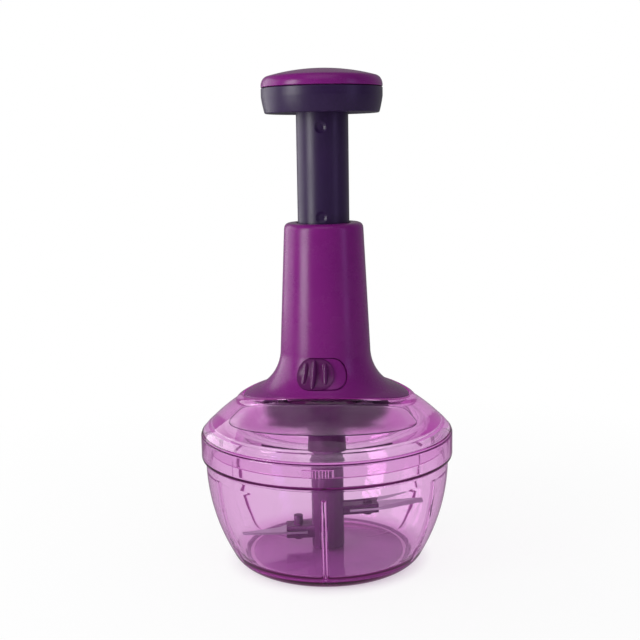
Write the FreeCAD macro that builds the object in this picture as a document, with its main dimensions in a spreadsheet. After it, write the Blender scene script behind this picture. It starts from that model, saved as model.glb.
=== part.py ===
"""Plunger food chopper: a bowl, a domed lid with a plunger handle, and a blade hub that spins.

Pushing the knob drives a nut down a twisted bar. The bar turns the drive head, and the drive
head turns the blade hub in the bowl. A spring inside the stem lifts the knob again.

Frame: millimetres, +Z up, origin at the centre of the foot, on the surface that it stands on.
The front, with the lock switch, faces -Y. Angles about Z are counter-clockwise seen from above.
"""

import FreeCAD, Part
import math
import os
import Sketcher

# Driving dimensions -------------------------------------------------------------------------

DIMENSIONS = {
    # bowl
    "bowl_rim_radius": 62.4,
    "bowl_rim_wall": 2.8,
    "bowl_height": 65.8,
    "rim_band_height": 12.9,
    "rim_band_step": 2.1,
    "rim_slope": 1.8,
    "rim_round": 2.0,
    "stop_width": 1.4,
    "stop_angle": 48.0,
    "bowl_side_curve": 94.5,
    "bowl_wall": 2.2,
    "bowl_heel_radius": 48.3,
    "bowl_heel_height": 6.2,
    "bowl_heel_curve": 11.0,
    "bowl_base_radius": 42.0,
    "bowl_floor": 2.6,
    "heel_inset": 1.0,
    "heel_rise": 4.4,
    "floor_corner": 6.8,
    "floor_corner_curve": 9.0,
    "rib_count": 6,
    "rib_width": 2.3,
    "rib_depth": 1.4,
    "rib_drop": 4.4,
    "edge_break": 0.5,
    "overlap": 0.5,
    "cut_over": 1.0,
    # foot
    "foot_radius": 38.0,
    "foot_thickness": 2.0,
    "foot_stand_out": 0.3,
    "foot_gap": 0.25,
    # blade pivot
    "pivot_radius": 3.0,
    "pivot_height": 17.4,
    "pivot_socket": 2.0,
    "boss_radius": 5.2,
    "boss_height": 4.0,
    "running_gap": 0.06,
    "clearance": 0.3,
    "seat_gap": 0.05,
    "press_gap": 0.01,
    # bayonet and seal
    "lug_count": 4,
    "ledge_depth": 1.3,
    "ledge_thickness": 1.2,
    "ledge_drop": 2.9,
    "ledge_angle": 66.0,
    "lug_depth": 1.3,
    "lug_thickness": 3.9,
    "lug_angle": 14.0,
    "bayonet_gap": 0.4,
    "seal_thickness": 1.3,
    "seal_gap": 0.15,
    # lid
    "dome_radius": 82.0,
    "dome_thickness": 2.2,
    "lid_edge_inset": 1.0,
    "lid_edge_thickness": 1.0,
    "lid_overhang": 0.4,
    "lid_plug_wall": 1.8,
    "hub_hole_margin": 0.9,
    "land_radius": 33.0,
    "land_drop": 1.4,
    "shoulder_inset": 4.4,
    "shoulder_step": 0.6,
    "shoulder_curve": 20.5,
    "recess_depth": 1.1,
    "collar_width": 3.7,
    "collar_height": 0.5,
    # handle
    "skirt_long": 41.5,
    "skirt_short": 31.2,
    "skirt_rise": 0.3,
    "skirt_gap": 0.4,
    "skirt_seat": 0.1,
    "skirt_spare": 3.0,
    "flare_curve": 22.0,
    "flare_foot_radius": 32.6,
    "flare_height": 23.0,
    "column_foot_radius": 22.1,
    "column_top_radius": 19.1,
    "handle_height": 84.7,
    "handle_round": 3.0,
    "handle_wall": 2.0,
    "handle_roof": 3.2,
    "handle_mouth_radius": 25.6,
    "handle_mouth_rise": 6.0,
    "stem_hole_gap": 0.9,
    # plate under the handle
    "plate_thickness": 2.55,
    "plate_hub_radius": 9.5,
    "plate_boss_radius": 10.4,
    "plate_hub_drop": 5.5,
    "plate_hub_rise": 1.4,
    "guard_radius": 14.6,
    "guard_wall": 1.4,
    "guard_drop": 6.0,
    "post_radius": 3.2,
    "post_circle": 21.8,
    "post_height": 19.0,
    "post_angle": 62.0,
    "screw_radius": 1.5,
    "screw_head_radius": 2.9,
    "screw_head_height": 2.0,
    "screw_length": 12.0,
    "screw_slack": 0.25,
    # stem, sleeve and drive nut
    "stem_radius": 12.5,
    "stem_wall": 2.0,
    "travel": 44.0,
    "nut_rise": 5.5,
    "sleeve_gap": 0.3,
    "sleeve_wall": 2.8,
    "shelf_reach": 1.8,
    "shelf_thickness": 1.2,
    "shelf_chamfer": 0.4,
    "nut_flange": 3.0,
    "nut_plug": 10.5,
    "nut_plug_gap": 0.1,
    "nut_lug_reach": 15.2,
    "nut_lug_width": 5.6,
    "nut_lug_count": 3,
    "slot_gap": 0.2,
    "web_thickness": 3.0,
    "web_drop": 8.0,
    "web_boss_radius": 5.0,
    "web_boss_height": 4.0,
    "nut_pin_radius": 1.0,
    "nut_pin_length": 4.4,
    # twisted bar and its bearing
    "bar_width": 8.0,
    "bar_thickness": 3.0,
    "bar_lead": 40.0,
    "bar_spare": 3.0,
    "bar_slot_gap": 0.2,
    "journal_radius": 5.0,
    "collar_radius": 8.0,
    "collar_thickness": 1.9,
    "bush_wall": 1.95,
    "bush_flange_radius": 8.6,
    "bush_flange": 1.2,
    "bearing_gap": 0.1,
    "washer_radius": 8.5,
    "washer_thickness": 0.5,
    "ring_radius": 7.4,
    "ring_thickness": 0.8,
    "ring_opening": 50.0,
    "groove_radius": 4.4,
    "square_width": 6.0,
    "square_drop": 21.4,
    # spring
    "spring_radius": 7.6,
    "spring_wire": 0.6,
    "spring_turns": 13,
    "seat_radius": 9.6,
    "seat_thickness": 1.5,
    "seat_spigot_radius": 5.0,
    "seat_spigot_height": 4.0,
    # lock
    "switch_rise": 14.8,
    "switch_depth": 1.6,
    "switch_slot_height": 14.5,
    "switch_slot_width": 24.8,
    "button_width": 17.8,
    "button_proud": 0.8,
    "button_gap": 0.25,
    "fin_thickness": 1.5,
    "fin_spacing": 5.1,
    "fin_height": 9.0,
    "fin_rise": 0.9,
    "button_dish": 0.7,
    "button_root": 0.6,
    "dish_border": 1.2,
    "fin_shortening": 2.4,
    "shroud_thickness": 1.3,
    "shroud_gap": 0.35,
    "shroud_taper": 0.3,
    "shroud_spare_angle": 1.5,
    "shroud_over": 1.5,
    "lock_ring_wall": 2.3,
    "lock_ring_rise": 9.6,
    "lock_ring_height": 2.8,
    "tooth_angle": 13.0,
    "window_lead_angle": 1.5,
    "window_end_angle": 12.5,
    "tooth_reach": 2.7,
    "tab_width": 5.0,
    "tab_depth": 1.5,
    # knob
    "knob_radius": 28.9,
    "knob_foot_radius": 27.4,
    "knob_gap": 7.3,
    "stem_in_knob": 4.0,
    "knob_height": 21.3,
    "knob_round": 1.2,
    "grip_under_curve": 30.0,
    "grip_side_curve": 60.0,
    "grip_chamfer": 1.0,
    "knob_cap_height": 8.8,
    "knob_seam": 0.3,
    "knob_shoulder": 4.0,
    "knob_wall": 3.0,
    "knob_floor": 2.5,
    "knob_hollow": 3.4,
    "cap_wall": 2.2,
    "cap_shoulder_inset": 1.6,
    "cap_shoulder_rise": 3.9,
    "cap_side": 0.5,
    "cap_side_curve": 5.5,
    "cap_foot_rise": 1.4,
    "cap_skirt": 2.2,
    "cap_skirt_wall": 1.7,
    "dimple_radius": 2.6,
    "dimple_depth": 0.9,
    "dimple_drop": 8.0,
    "dimple_rise": 3.1,
    "knob_screw_radius": 1.9,
    "knob_screw_head": 3.6,
    "knob_screw_head_height": 2.4,
    "screw_point": 1.0,
    # drive head
    "head_drop": 34.0,
    "head_socket_radius": 6.2,
    "head_socket_depth": 9.6,
    "head_lip_radius": 8.8,
    "head_lip_height": 9.0,
    "head_cone_radius": 9.0,
    "head_cone_height": 5.0,
    "head_top_radius": 9.4,
    "head_top_drop": 7.4,
    "dog_angle": 60.0,
    "dog_depth": 2.1,
    "dog_height": 6.2,
    "head_dog_angle": 80.0,
    "dog_lead_gap": 1.5,
    # hub and blades
    "hub_radius": 8.1,
    "hub_lift": 0.8,
    "hub_gap": 0.4,
    "stub_radius": 3.4,
    "stub_height": 7.3,
    "blade_thickness": 1.2,
    "blade_width": 10.5,
    "blade_tip_width": 3.0,
    "blade_slot_gap": 0.05,
    "blade_root": 10.5,
    "blade_edge_curve": 31.0,
    "blade_back_curve": 80.0,
    "blade_tip_curve": 2.4,
    "blade_heel": 3.0,
    "pin_foot": 1.5,
    "arm_width": 8.4,
    "pin_radius": 2.2,
    "pin_gap": 0.02,
    "low_blade_rise": 9.0,
    "low_blade_gap": 18.4,
    "low_arm_reach": 21.0,
    "low_arm_height": 6.0,
    "low_pin_circle": 15.0,
    "low_pin_rise": 7.6,
    "low_blade_angle": 187.0,
    "mid_blade_drop": 9.6,
    "mid_blade_gap": 12.4,
    "mid_arm_reach": 21.0,
    "mid_arm_height": 7.0,
    "mid_pin_circle": 16.5,
    "mid_pin_rise": 6.0,
    "mid_blade_angle": 97.0,
    "high_blade_drop": 25.8,
    "high_blade_gap": 11.6,
    "high_arm_reach": 25.5,
    "high_arm_height": 4.6,
    "high_pin_circle": 20.5,
    "high_pin_rise": 3.8,
    "high_blade_angle": 14.0,
}


class Size:
    """A size that knows its value now and the sheet expression that gives it."""

    def __init__(self, number, text):
        self.number = float(number)
        self.text = text

    def __add__(self, other):
        return joined(self, "+", other, self.number + number_of(other))

    def __radd__(self, other):
        return joined(other, "+", self, number_of(other) + self.number)

    def __sub__(self, other):
        return joined(self, "-", other, self.number - number_of(other))

    def __rsub__(self, other):
        return joined(other, "-", self, number_of(other) - self.number)

    def __mul__(self, other):
        return joined(self, "*", other, self.number * number_of(other))

    def __rmul__(self, other):
        return joined(other, "*", self, number_of(other) * self.number)

    def __truediv__(self, other):
        return joined(self, "/", other, self.number / number_of(other))

    def __rtruediv__(self, other):
        return joined(other, "/", self, number_of(other) / self.number)

    def __neg__(self):
        return 0 - self


def number_of(value):
    return value.number if isinstance(value, Size) else float(value)


def text_of(value):
    return value.text if isinstance(value, Size) else repr(float(value))


def joined(first, sign, second, number):
    return Size(number, "(%s %s %s)" % (text_of(first), sign, text_of(second)))


def root(value):
    return Size(math.sqrt(number_of(value)), "sqrt(%s)" % text_of(value))


def cosine(angle):
    return Size(math.cos(math.radians(number_of(angle))), "cos(%s)" % text_of(angle))


def sine(angle):
    return Size(math.sin(math.radians(number_of(angle))), "sin(%s)" % text_of(angle))


doc = FreeCAD.newDocument("plunger_chopper")
sheet = doc.addObject("Spreadsheet::Sheet", "Sizes")
for row, (word, value) in enumerate(DIMENSIONS.items(), start=1):
    sheet.set("A%d" % row, word)
    sheet.set("B%d" % row, str(value))
    sheet.setAlias("B%d" % row, word)
doc.recompute()


class Dimensions:
    """The sheet's sizes by name, as Size values."""


d = Dimensions()
for word, value in DIMENSIONS.items():
    setattr(d, word, Size(value, "Sizes." + word))

FRONT = -90.0
BACK = 90.0
FLARE_FOOT_SHARE = 0.4  # of a growth outwards, the part that moves the flare's foot out
X_AXIS = FreeCAD.Vector(1, 0, 0)
Y_AXIS = FreeCAD.Vector(0, 1, 0)
Z_AXIS = FreeCAD.Vector(0, 0, 1)


# Drawing helpers ----------------------------------------------------------------------------

def bind(thing, prop, value):
    """Sets a property, and ties it to the sheet where the value comes from there."""
    if isinstance(value, Size):
        thing.setExpression(prop, value.text)
    else:
        setattr(thing, prop, value)


def place(thing, x=0.0, y=0.0, z=0.0, axis=Z_AXIS, angle=0.0):
    """Places an object, turned by angle about an axis through its own origin."""
    thing.Placement = FreeCAD.Placement(
        FreeCAD.Vector(number_of(x), number_of(y), number_of(z)),
        FreeCAD.Rotation(axis, number_of(angle)))
    for name, value in (("x", x), ("y", y), ("z", z)):
        if isinstance(value, Size):
            thing.setExpression("Placement.Base." + name, value.text)
    if isinstance(angle, Size):
        thing.setExpression("Placement.Rotation.Angle", angle.text)
    return thing


def origin_part(body, role):
    return [item for item in body.Origin.OriginFeatures if item.Role == role][0]


def new_sketch(body, name, plane, height=0.0):
    """A sketch on one of the body's own planes, lifted along the plane's normal."""
    sketch = body.newObject("Sketcher::SketchObject", name)
    sketch.AttachmentSupport = [(origin_part(body, plane), "")]
    sketch.MapMode = "FlatFace"
    sketch.AttachmentOffset = FreeCAD.Placement(
        FreeCAD.Vector(0, 0, number_of(height)), FreeCAD.Rotation())
    if isinstance(height, Size):
        sketch.setExpression("AttachmentOffset.Base.z", height.text)
    return sketch


def fix(sketch, kind, *where):
    """Adds a dimension, tied to the sheet; a zero becomes a point on the axis."""
    value = where[-1]
    number = number_of(value)
    if kind in ("DistanceX", "DistanceY") and not isinstance(value, Size) and number == 0:
        axis = -2 if kind == "DistanceX" else -1
        sketch.addConstraint(Sketcher.Constraint("PointOnObject", where[0], where[1], axis))
        return
    if kind in ("DistanceX", "DistanceY"):
        rule = Sketcher.Constraint(kind, -1, 1, where[0], where[1], number)
    else:
        rule = Sketcher.Constraint(kind, where[0], number)
    index = sketch.addConstraint(rule)
    if isinstance(value, Size):
        sketch.setExpression("Constraints[%d]" % index, value.text)


def draw(sketch, outline):
    """Draws a closed outline, walked with the material on the left.

    A corner is (u, v), or (u, v, curve) where an arc of that radius leads to the next corner.
    The arc bulges to the right, away from the material; with ("in", curve) it bulges inwards.
    """
    ends = []
    for number, corner in enumerate(outline):
        after = outline[(number + 1) % len(outline)]
        start = FreeCAD.Vector(number_of(corner[0]), number_of(corner[1]), 0)
        end = FreeCAD.Vector(number_of(after[0]), number_of(after[1]), 0)
        if len(corner) == 2:
            edge = sketch.addGeometry(Part.LineSegment(start, end), False)
            ends.append((edge, 1, 2))
            continue
        inward = isinstance(corner[2], tuple)
        curve = corner[2][1] if inward else corner[2]
        chord = end - start
        rise = math.sqrt(max(number_of(curve) ** 2 - chord.Length ** 2 / 4, 0.0))
        left = FreeCAD.Vector(-chord.y, chord.x, 0) / chord.Length
        centre = (start + end) / 2 + left * (-rise if inward else rise)
        first, last = (end, start) if inward else (start, end)
        turns = [math.atan2((p - centre).y, (p - centre).x) for p in (first, last)]
        circle = Part.Circle(centre, Z_AXIS, number_of(curve))
        edge = sketch.addGeometry(Part.ArcOfCircle(circle, turns[0], turns[1]), False)
        ends.append((edge, 2, 1) if inward else (edge, 1, 2))
    for number, (edge, first, last) in enumerate(ends):
        after = ends[(number + 1) % len(ends)]
        sketch.addConstraint(Sketcher.Constraint("Coincident", edge, last, after[0], after[1]))
    for (edge, first, last), corner in zip(ends, outline):
        fix(sketch, "DistanceX", edge, first, corner[0])
        fix(sketch, "DistanceY", edge, first, corner[1])
        if len(corner) == 3:
            curve = corner[2][1] if isinstance(corner[2], tuple) else corner[2]
            fix(sketch, "Radius", edge, curve)


def draw_circle(sketch, u, v, radius):
    """Draws a circle about the point (u, v)."""
    centre = FreeCAD.Vector(number_of(u), number_of(v), 0)
    edge = sketch.addGeometry(Part.Circle(centre, Z_AXIS, number_of(radius)), False)
    fix(sketch, "DistanceX", edge, 3, u)
    fix(sketch, "DistanceY", edge, 3, v)
    fix(sketch, "Radius", edge, radius)


def body_of(name):
    return doc.addObject("PartDesign::Body", name)


def turn(body, name, outline, angle=360.0, start=0.0):
    """Adds an outline of (radius, height) corners turned about Z, centred on the start angle."""
    sketch = new_sketch(body, name + "_outline", "XZ_Plane")
    spin = FreeCAD.Rotation(Y_AXIS, number_of(start))
    sketch.AttachmentOffset = FreeCAD.Placement(FreeCAD.Vector(), spin)
    if isinstance(start, Size):
        sketch.setExpression("AttachmentOffset.Rotation.Angle", start.text)
    draw(sketch, outline)
    feature = body.newObject("PartDesign::Revolution", name)
    feature.Profile = sketch
    feature.ReferenceAxis = (sketch, ["V_Axis"])
    feature.Midplane = number_of(angle) < 360
    bind(feature, "Angle", angle)
    return feature


def turned(name, outline):
    """A body of one outline turned fully about Z."""
    body = body_of(name)
    turn(body, name + "_turn", outline)
    return body


def pad(body, name, outline, low, height):
    """Adds an outline of (x, y) corners, raised from a height."""
    sketch = new_sketch(body, name + "_outline", "XY_Plane", low)
    draw(sketch, outline)
    feature = body.newObject("PartDesign::Pad", name)
    feature.Profile = sketch
    bind(feature, "Length", height)
    return feature


def pocket(body, name, outline, low, height):
    """Cuts an outline of (x, y) corners upwards from a height."""
    sketch = new_sketch(body, name + "_outline", "XY_Plane", low)
    draw(sketch, outline)
    return cut_up(body, name, sketch, height)


def hole(body, name, x, y, radius, low, height):
    """Cuts a round hole upwards from a height."""
    sketch = new_sketch(body, name + "_circle", "XY_Plane", low)
    draw_circle(sketch, x, y, radius)
    return cut_up(body, name, sketch, height)


def cut_up(body, name, sketch, height):
    doc.recompute()
    before = body.Shape.Volume
    feature = body.newObject("PartDesign::Pocket", name)
    feature.Profile = sketch
    feature.Reversed = True
    bind(feature, "Length", height)
    doc.recompute()
    if body.Shape.Volume > before - 1e-3:
        raise RuntimeError(name + " cuts nothing")
    return feature


def around(body, name, features, count):
    """Repeats features evenly about Z."""
    feature = body.newObject("PartDesign::PolarPattern", name)
    feature.Originals = features
    feature.Axis = (origin_part(body, "Z_Axis"), [""])
    feature.Angle = 360
    bind(feature, "Occurrences", count)
    body.Tip = feature
    return feature


def cylinder(name, radius, low, high, x=0.0, y=0.0, start=0.0, sweep=360.0):
    """A round bar along Z, or a wedge of one, between two heights."""
    thing = doc.addObject("Part::Cylinder", name)
    bind(thing, "Radius", radius)
    bind(thing, "Height", high - low)
    bind(thing, "Angle", sweep)
    return place(thing, x, y, low, Z_AXIS, start)


def block(name, size_x, size_y, size_z, x, y, z):
    """A box from its lowest corner."""
    thing = doc.addObject("Part::Box", name)
    bind(thing, "Length", size_x)
    bind(thing, "Width", size_y)
    bind(thing, "Height", size_z)
    return place(thing, x, y, z)


def ball(name, radius, height):
    """A sphere on the axis."""
    thing = doc.addObject("Part::Sphere", name)
    bind(thing, "Radius", radius)
    return place(thing, 0, 0, height)


def oval(name, long_radius, short_radius, low, high):
    """An upright oval prism, its long way along X."""
    ring = doc.addObject("Part::Ellipse", name + "_ring")
    bind(ring, "MajorRadius", long_radius)
    bind(ring, "MinorRadius", short_radius)
    place(ring, 0, 0, low)
    thing = doc.addObject("Part::Extrusion", name)
    thing.Base = ring
    thing.DirMode = "Custom"
    thing.Dir = Z_AXIS
    thing.Solid = True
    bind(thing, "LengthFwd", high - low)
    return thing


def fused(name, pieces):
    thing = doc.addObject("Part::MultiFuse", name)
    thing.Shapes = pieces
    return thing


def shared(name, pieces):
    thing = doc.addObject("Part::MultiCommon", name)
    thing.Shapes = pieces
    return thing


def cut(name, base, tools):
    """Cuts the tools from the base."""
    thing = doc.addObject("Part::Cut", name)
    thing.Base = base
    thing.Tool = tools[0] if len(tools) == 1 else fused(name + "_tools", tools)
    return thing


def shaped(name, shape):
    """A sub-part that only code can shape, such as a twisted bar."""
    thing = doc.addObject("Part::Feature", name)
    thing.Shape = shape
    return thing


NODES = []


def node(thing, label):
    """Keeps an object as a sub-part under its own label."""
    thing.Label = label
    NODES.append((thing, label))
    return thing


def turned_about(name, thing, angle, offset=0.0):
    """A group of one object, turned about Z."""
    group = doc.addObject("Part::Compound", name)
    group.Links = [thing]
    return place(group, 0, 0, offset, Z_AXIS, angle)


def arc_angle(length, radius):
    """Degrees that an arc of a length takes on a radius."""
    return length / radius * (180 / math.pi)


def on_sphere(radius, distance):
    """Height of a sphere about the dome's centre, at a distance from the axis."""
    return dome_centre + root(radius * radius - distance * distance)


# Places worked out from the dimensions ------------------------------------------------------

floor_under = d.foot_thickness
floor_top = floor_under + d.bowl_floor
band_bottom = d.bowl_height - d.rim_band_height
rim_inside = d.bowl_rim_radius - d.bowl_rim_wall
side_top_radius = d.bowl_rim_radius - d.rim_band_step
ledge_top = d.bowl_height - d.ledge_drop + d.ledge_thickness
ledge_bottom = d.bowl_height - d.ledge_drop
ledge_inside = rim_inside - d.ledge_depth
plug_outside = ledge_inside - d.bayonet_gap
plug_inside = plug_outside - d.lid_plug_wall
lug_top = ledge_bottom - d.bayonet_gap
lug_bottom = lug_top - d.lug_thickness
lid_bottom = d.bowl_height + d.clearance
lid_edge_top = lid_bottom + d.lid_edge_thickness
lid_edge = d.bowl_rim_radius - d.lid_edge_inset
shoulder_radius = lid_edge - d.shoulder_inset
hub_hole_radius = d.handle_mouth_radius + d.hub_hole_margin
dome_centre = lid_edge_top - root(d.dome_radius * d.dome_radius - lid_edge * lid_edge)
dome_inside = d.dome_radius - d.dome_thickness
land_bottom = on_sphere(dome_inside, d.land_radius) - d.land_drop
mouth_top = land_bottom + d.handle_mouth_rise
guard_bottom = land_bottom - d.guard_drop
flare_top = land_bottom + d.flare_height
handle_top = land_bottom + d.handle_height
recess_radius = d.dome_radius - d.recess_depth
skirt_top_radius = d.dome_radius + d.skirt_rise
skirt_under_radius = recess_radius + d.skirt_seat
plate_top = land_bottom - d.seat_gap
plate_bottom = plate_top - d.plate_thickness
plate_hub_bottom = land_bottom - d.plate_hub_drop
plate_hub_top = land_bottom + d.plate_hub_rise
stem_inside = d.stem_radius - d.stem_wall
sleeve_inside = d.stem_radius + d.sleeve_gap
sleeve_outside = sleeve_inside + d.sleeve_wall
sleeve_top = handle_top - d.handle_roof - d.seat_gap
knob_bottom = handle_top + d.travel + d.knob_gap
stem_top = knob_bottom + d.stem_in_knob
nut_bottom = land_bottom + d.nut_rise + d.travel
nut_flange_top = nut_bottom + d.nut_flange
stem_bottom = nut_flange_top + d.seat_gap
web_bottom = stem_top - d.web_drop
web_top = web_bottom + d.web_thickness
journal_top = plate_hub_top + d.bush_flange + d.bearing_gap
bar_bottom = journal_top + d.collar_thickness
bar_top = nut_flange_top + d.nut_plug + d.bar_spare
square_bottom = land_bottom - d.square_drop
washer_top = plate_hub_bottom - d.bearing_gap
washer_bottom = washer_top - d.washer_thickness
ring_top = washer_bottom - d.seat_gap
ring_bottom = ring_top - d.ring_thickness
groove_bottom = ring_bottom - d.seat_gap
lock_ring_inside = sleeve_outside + d.clearance
lock_ring_outside = lock_ring_inside + d.lock_ring_wall
lock_ring_low = land_bottom + d.lock_ring_rise
switch_height = land_bottom + d.switch_rise
switch_radius = d.column_foot_radius + d.switch_depth
switch_turn = arc_angle((d.switch_slot_width - d.button_width) / 2, switch_radius)
knob_top = knob_bottom + d.knob_height
seam_height = knob_top - d.knob_cap_height
grip_top = seam_height - d.knob_seam
grip_floor_bottom = stem_top + d.seat_gap
grip_floor_top = grip_floor_bottom + d.knob_floor
head_bottom = land_bottom - d.head_drop
head_roof = head_bottom + d.head_socket_depth
head_top = land_bottom - d.head_top_drop
hub_shoulder = head_bottom - d.hub_gap
pivot_top = floor_top + d.pivot_height


# Bowl ---------------------------------------------------------------------------------------

def make_bowl():
    """Bowl with a stepped rim, six inner ribs, bayonet ledges and the pivot boss."""
    inner_curve = d.bowl_side_curve - d.bowl_wall
    inner_top = side_top_radius - d.bowl_wall
    inner_heel = d.bowl_heel_radius - d.heel_inset
    inner_heel_height = floor_top + d.heel_rise
    floor_edge = inner_heel - d.floor_corner
    body = body_of("bowl_body")
    turn(body, "bowl_shell", [
        (0, floor_under),
        (d.foot_radius + d.foot_gap, floor_under),
        (d.foot_radius + d.foot_gap, d.foot_stand_out),
        (d.bowl_base_radius, d.foot_stand_out, d.bowl_heel_curve),
        (d.bowl_heel_radius, d.bowl_heel_height, d.bowl_side_curve),
        (side_top_radius, band_bottom, d.rim_round),
        (d.bowl_rim_radius, band_bottom + d.rim_slope),
        (d.bowl_rim_radius, d.bowl_height - d.edge_break, d.edge_break),
        (d.bowl_rim_radius - d.edge_break, d.bowl_height),
        (rim_inside + d.edge_break, d.bowl_height),
        (rim_inside, d.bowl_height - d.edge_break),
        (rim_inside, band_bottom + d.rim_slope + d.bowl_wall),
        (inner_top, band_bottom, ("in", inner_curve)),
        (inner_heel, inner_heel_height, ("in", d.floor_corner_curve)),
        (floor_edge, floor_top),
        (d.boss_radius, floor_top),
        (d.boss_radius, floor_top + d.boss_height),
        (d.pivot_radius, floor_top + d.boss_height),
        (d.pivot_radius, floor_top - d.pivot_socket),
        (0, floor_top - d.pivot_socket),
    ])
    ledge = turn(body, "bayonet_ledge", [
        (ledge_inside, ledge_bottom),
        (rim_inside + d.bowl_rim_wall / 2, ledge_bottom),
        (rim_inside + d.bowl_rim_wall / 2, ledge_top),
        (ledge_inside, ledge_top),
    ], d.ledge_angle, 45.0)
    stop = turn(body, "bayonet_stop", [
        (ledge_inside, band_bottom + d.rim_slope),
        (rim_inside + d.bowl_rim_wall / 2, band_bottom + d.rim_slope),
        (rim_inside + d.bowl_rim_wall / 2, ledge_top),
        (ledge_inside, ledge_top),
    ], arc_angle(d.stop_width, rim_inside), d.stop_angle)
    around(body, "bayonet_ledges", [ledge, stop], d.lug_count)
    rib_top = band_bottom - d.rib_drop
    rib_sketch = new_sketch(body, "rib_outline", "XZ_Plane")
    draw(rib_sketch, [
        (floor_edge, floor_top - d.overlap),
        (inner_heel - d.rib_depth, floor_top - d.overlap),
        (inner_heel + d.overlap, inner_heel_height, inner_curve),
        (inner_top + d.overlap, rib_top),
        (inner_top - d.rib_depth, rib_top, ("in", inner_curve)),
        (inner_heel - d.rib_depth, inner_heel_height, ("in", d.floor_corner_curve)),
    ])
    rib = body.newObject("PartDesign::Pad", "rib")
    rib.Profile = rib_sketch
    rib.Midplane = True
    bind(rib, "Length", d.rib_width)
    around(body, "ribs", [rib], d.rib_count)
    place(body, angle=FRONT)
    return node(body, "bowl")


def make_foot():
    """Soft pad that grips the table, set in the recess under the bowl."""
    return node(turned("foot_body", [
        (0, 0),
        (d.foot_radius - d.edge_break, 0),
        (d.foot_radius, d.edge_break),
        (d.foot_radius, d.foot_thickness),
        (0, d.foot_thickness),
    ]), "foot_pad")


def make_pivot():
    """Steel pin in the bowl's floor, which the blade hub turns on."""
    return node(turned("pivot_body", [
        (0, floor_top - d.pivot_socket),
        (d.pivot_radius, floor_top - d.pivot_socket),
        (d.pivot_radius, pivot_top - d.edge_break),
        (d.pivot_radius - d.edge_break, pivot_top),
        (0, pivot_top),
    ]), "blade_pivot_pin")


# Lid ----------------------------------------------------------------------------------------

def make_seal():
    """Soft ring round the lid's plug, above the bayonet ledges."""
    low = ledge_top + d.seal_gap
    inside = plug_outside + d.seal_gap
    outside = rim_inside - d.seal_gap
    return node(turned("seal_body", [
        (inside, low),
        (outside - d.edge_break, low),
        (outside, low + d.seal_thickness / 2),
        (outside - d.edge_break, low + d.seal_thickness),
        (inside, low + d.seal_thickness),
    ]), "lid_seal")


def make_lid():
    """Clear domed lid: a ball-shaped shell with a plug, bayonet lugs and an oval collar."""
    step_height = on_sphere(d.dome_radius, shoulder_radius)
    body = body_of("lid_shell")
    turn(body, "lid_turn", [
        (hub_hole_radius, land_bottom),
        (d.land_radius, land_bottom),
        (d.land_radius, on_sphere(dome_inside, d.land_radius), ("in", dome_inside)),
        (plug_inside, on_sphere(dome_inside, plug_inside)),
        (plug_inside, lug_bottom),
        (plug_outside, lug_bottom),
        (plug_outside, lid_bottom),
        (d.bowl_rim_radius - d.lid_overhang, lid_bottom),
        (d.bowl_rim_radius - d.lid_overhang, lid_edge_top - d.edge_break),
        (lid_edge, lid_edge_top, d.shoulder_curve),
        (shoulder_radius + d.shoulder_step, step_height - d.shoulder_step),
        (shoulder_radius, step_height, d.dome_radius),
        (hub_hole_radius, on_sphere(d.dome_radius, hub_hole_radius)),
    ])
    lug = turn(body, "lid_lug", [
        (plug_outside - d.lid_plug_wall / 2, lug_bottom),
        (plug_outside + d.lug_depth, lug_bottom),
        (plug_outside + d.lug_depth, lug_top),
        (plug_outside - d.lid_plug_wall / 2, lug_top),
    ], d.lug_angle)
    around(body, "lid_lugs", [lug], d.lug_count)
    low = dome_centre
    high = dome_centre + d.dome_radius + d.cut_over
    inner_long = d.skirt_long + d.skirt_gap
    inner_short = d.skirt_short + d.skirt_gap
    recess = cut("skirt_recess", oval("recess_prism", inner_long, inner_short, low, high),
                 [ball("recess_ball", recess_radius, dome_centre)])
    wide_prism = oval("collar_prism", inner_long + d.collar_width, inner_short + d.collar_width,
                      low, high)
    collar_ball = ball("collar_ball", d.dome_radius + d.collar_height, dome_centre)
    collar = cut("collar", shared("collar_disc", [wide_prism, collar_ball]),
                 [ball("collar_under", d.dome_radius - d.dome_thickness / 2, dome_centre)])
    raised = fused("lid_with_collar", [body, collar])
    return node(cut("lid_dome", raised, [recess]), "lid_dome")


# Handle -------------------------------------------------------------------------------------

def handle_outline(grow):
    """Outer outline of the handle, grown outwards by a distance, from the skirt to the column."""
    wide = d.skirt_long + d.skirt_spare
    sphere = skirt_top_radius + grow
    flare_radius = d.flare_foot_radius + grow * FLARE_FOOT_SHARE
    return [
        (wide, on_sphere(sphere, wide), sphere),
        (flare_radius, on_sphere(sphere, flare_radius), ("in", d.flare_curve - grow)),
        (d.column_foot_radius + grow, flare_top),
    ]


def stadium(name, width, height, depth_near, depth_far, angle):
    """A flat-sided round-ended prism lying radially, facing the front, turned about Z."""
    straight = width - height
    body = body_of(name)
    sketch = new_sketch(body, name + "_outline", "XZ_Plane", depth_near)
    half = straight / 2
    top = switch_height + height / 2
    low = switch_height - height / 2
    draw(sketch, [
        (-half, low),
        (half, low, height / 2 + 1e-4),
        (half, top),
        (-half, top, height / 2 + 1e-4),
    ])
    feature = body.newObject("PartDesign::Pad", name + "_pad")
    feature.Profile = sketch
    bind(feature, "Length", depth_far - depth_near)
    return place(body, angle=angle)


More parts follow.
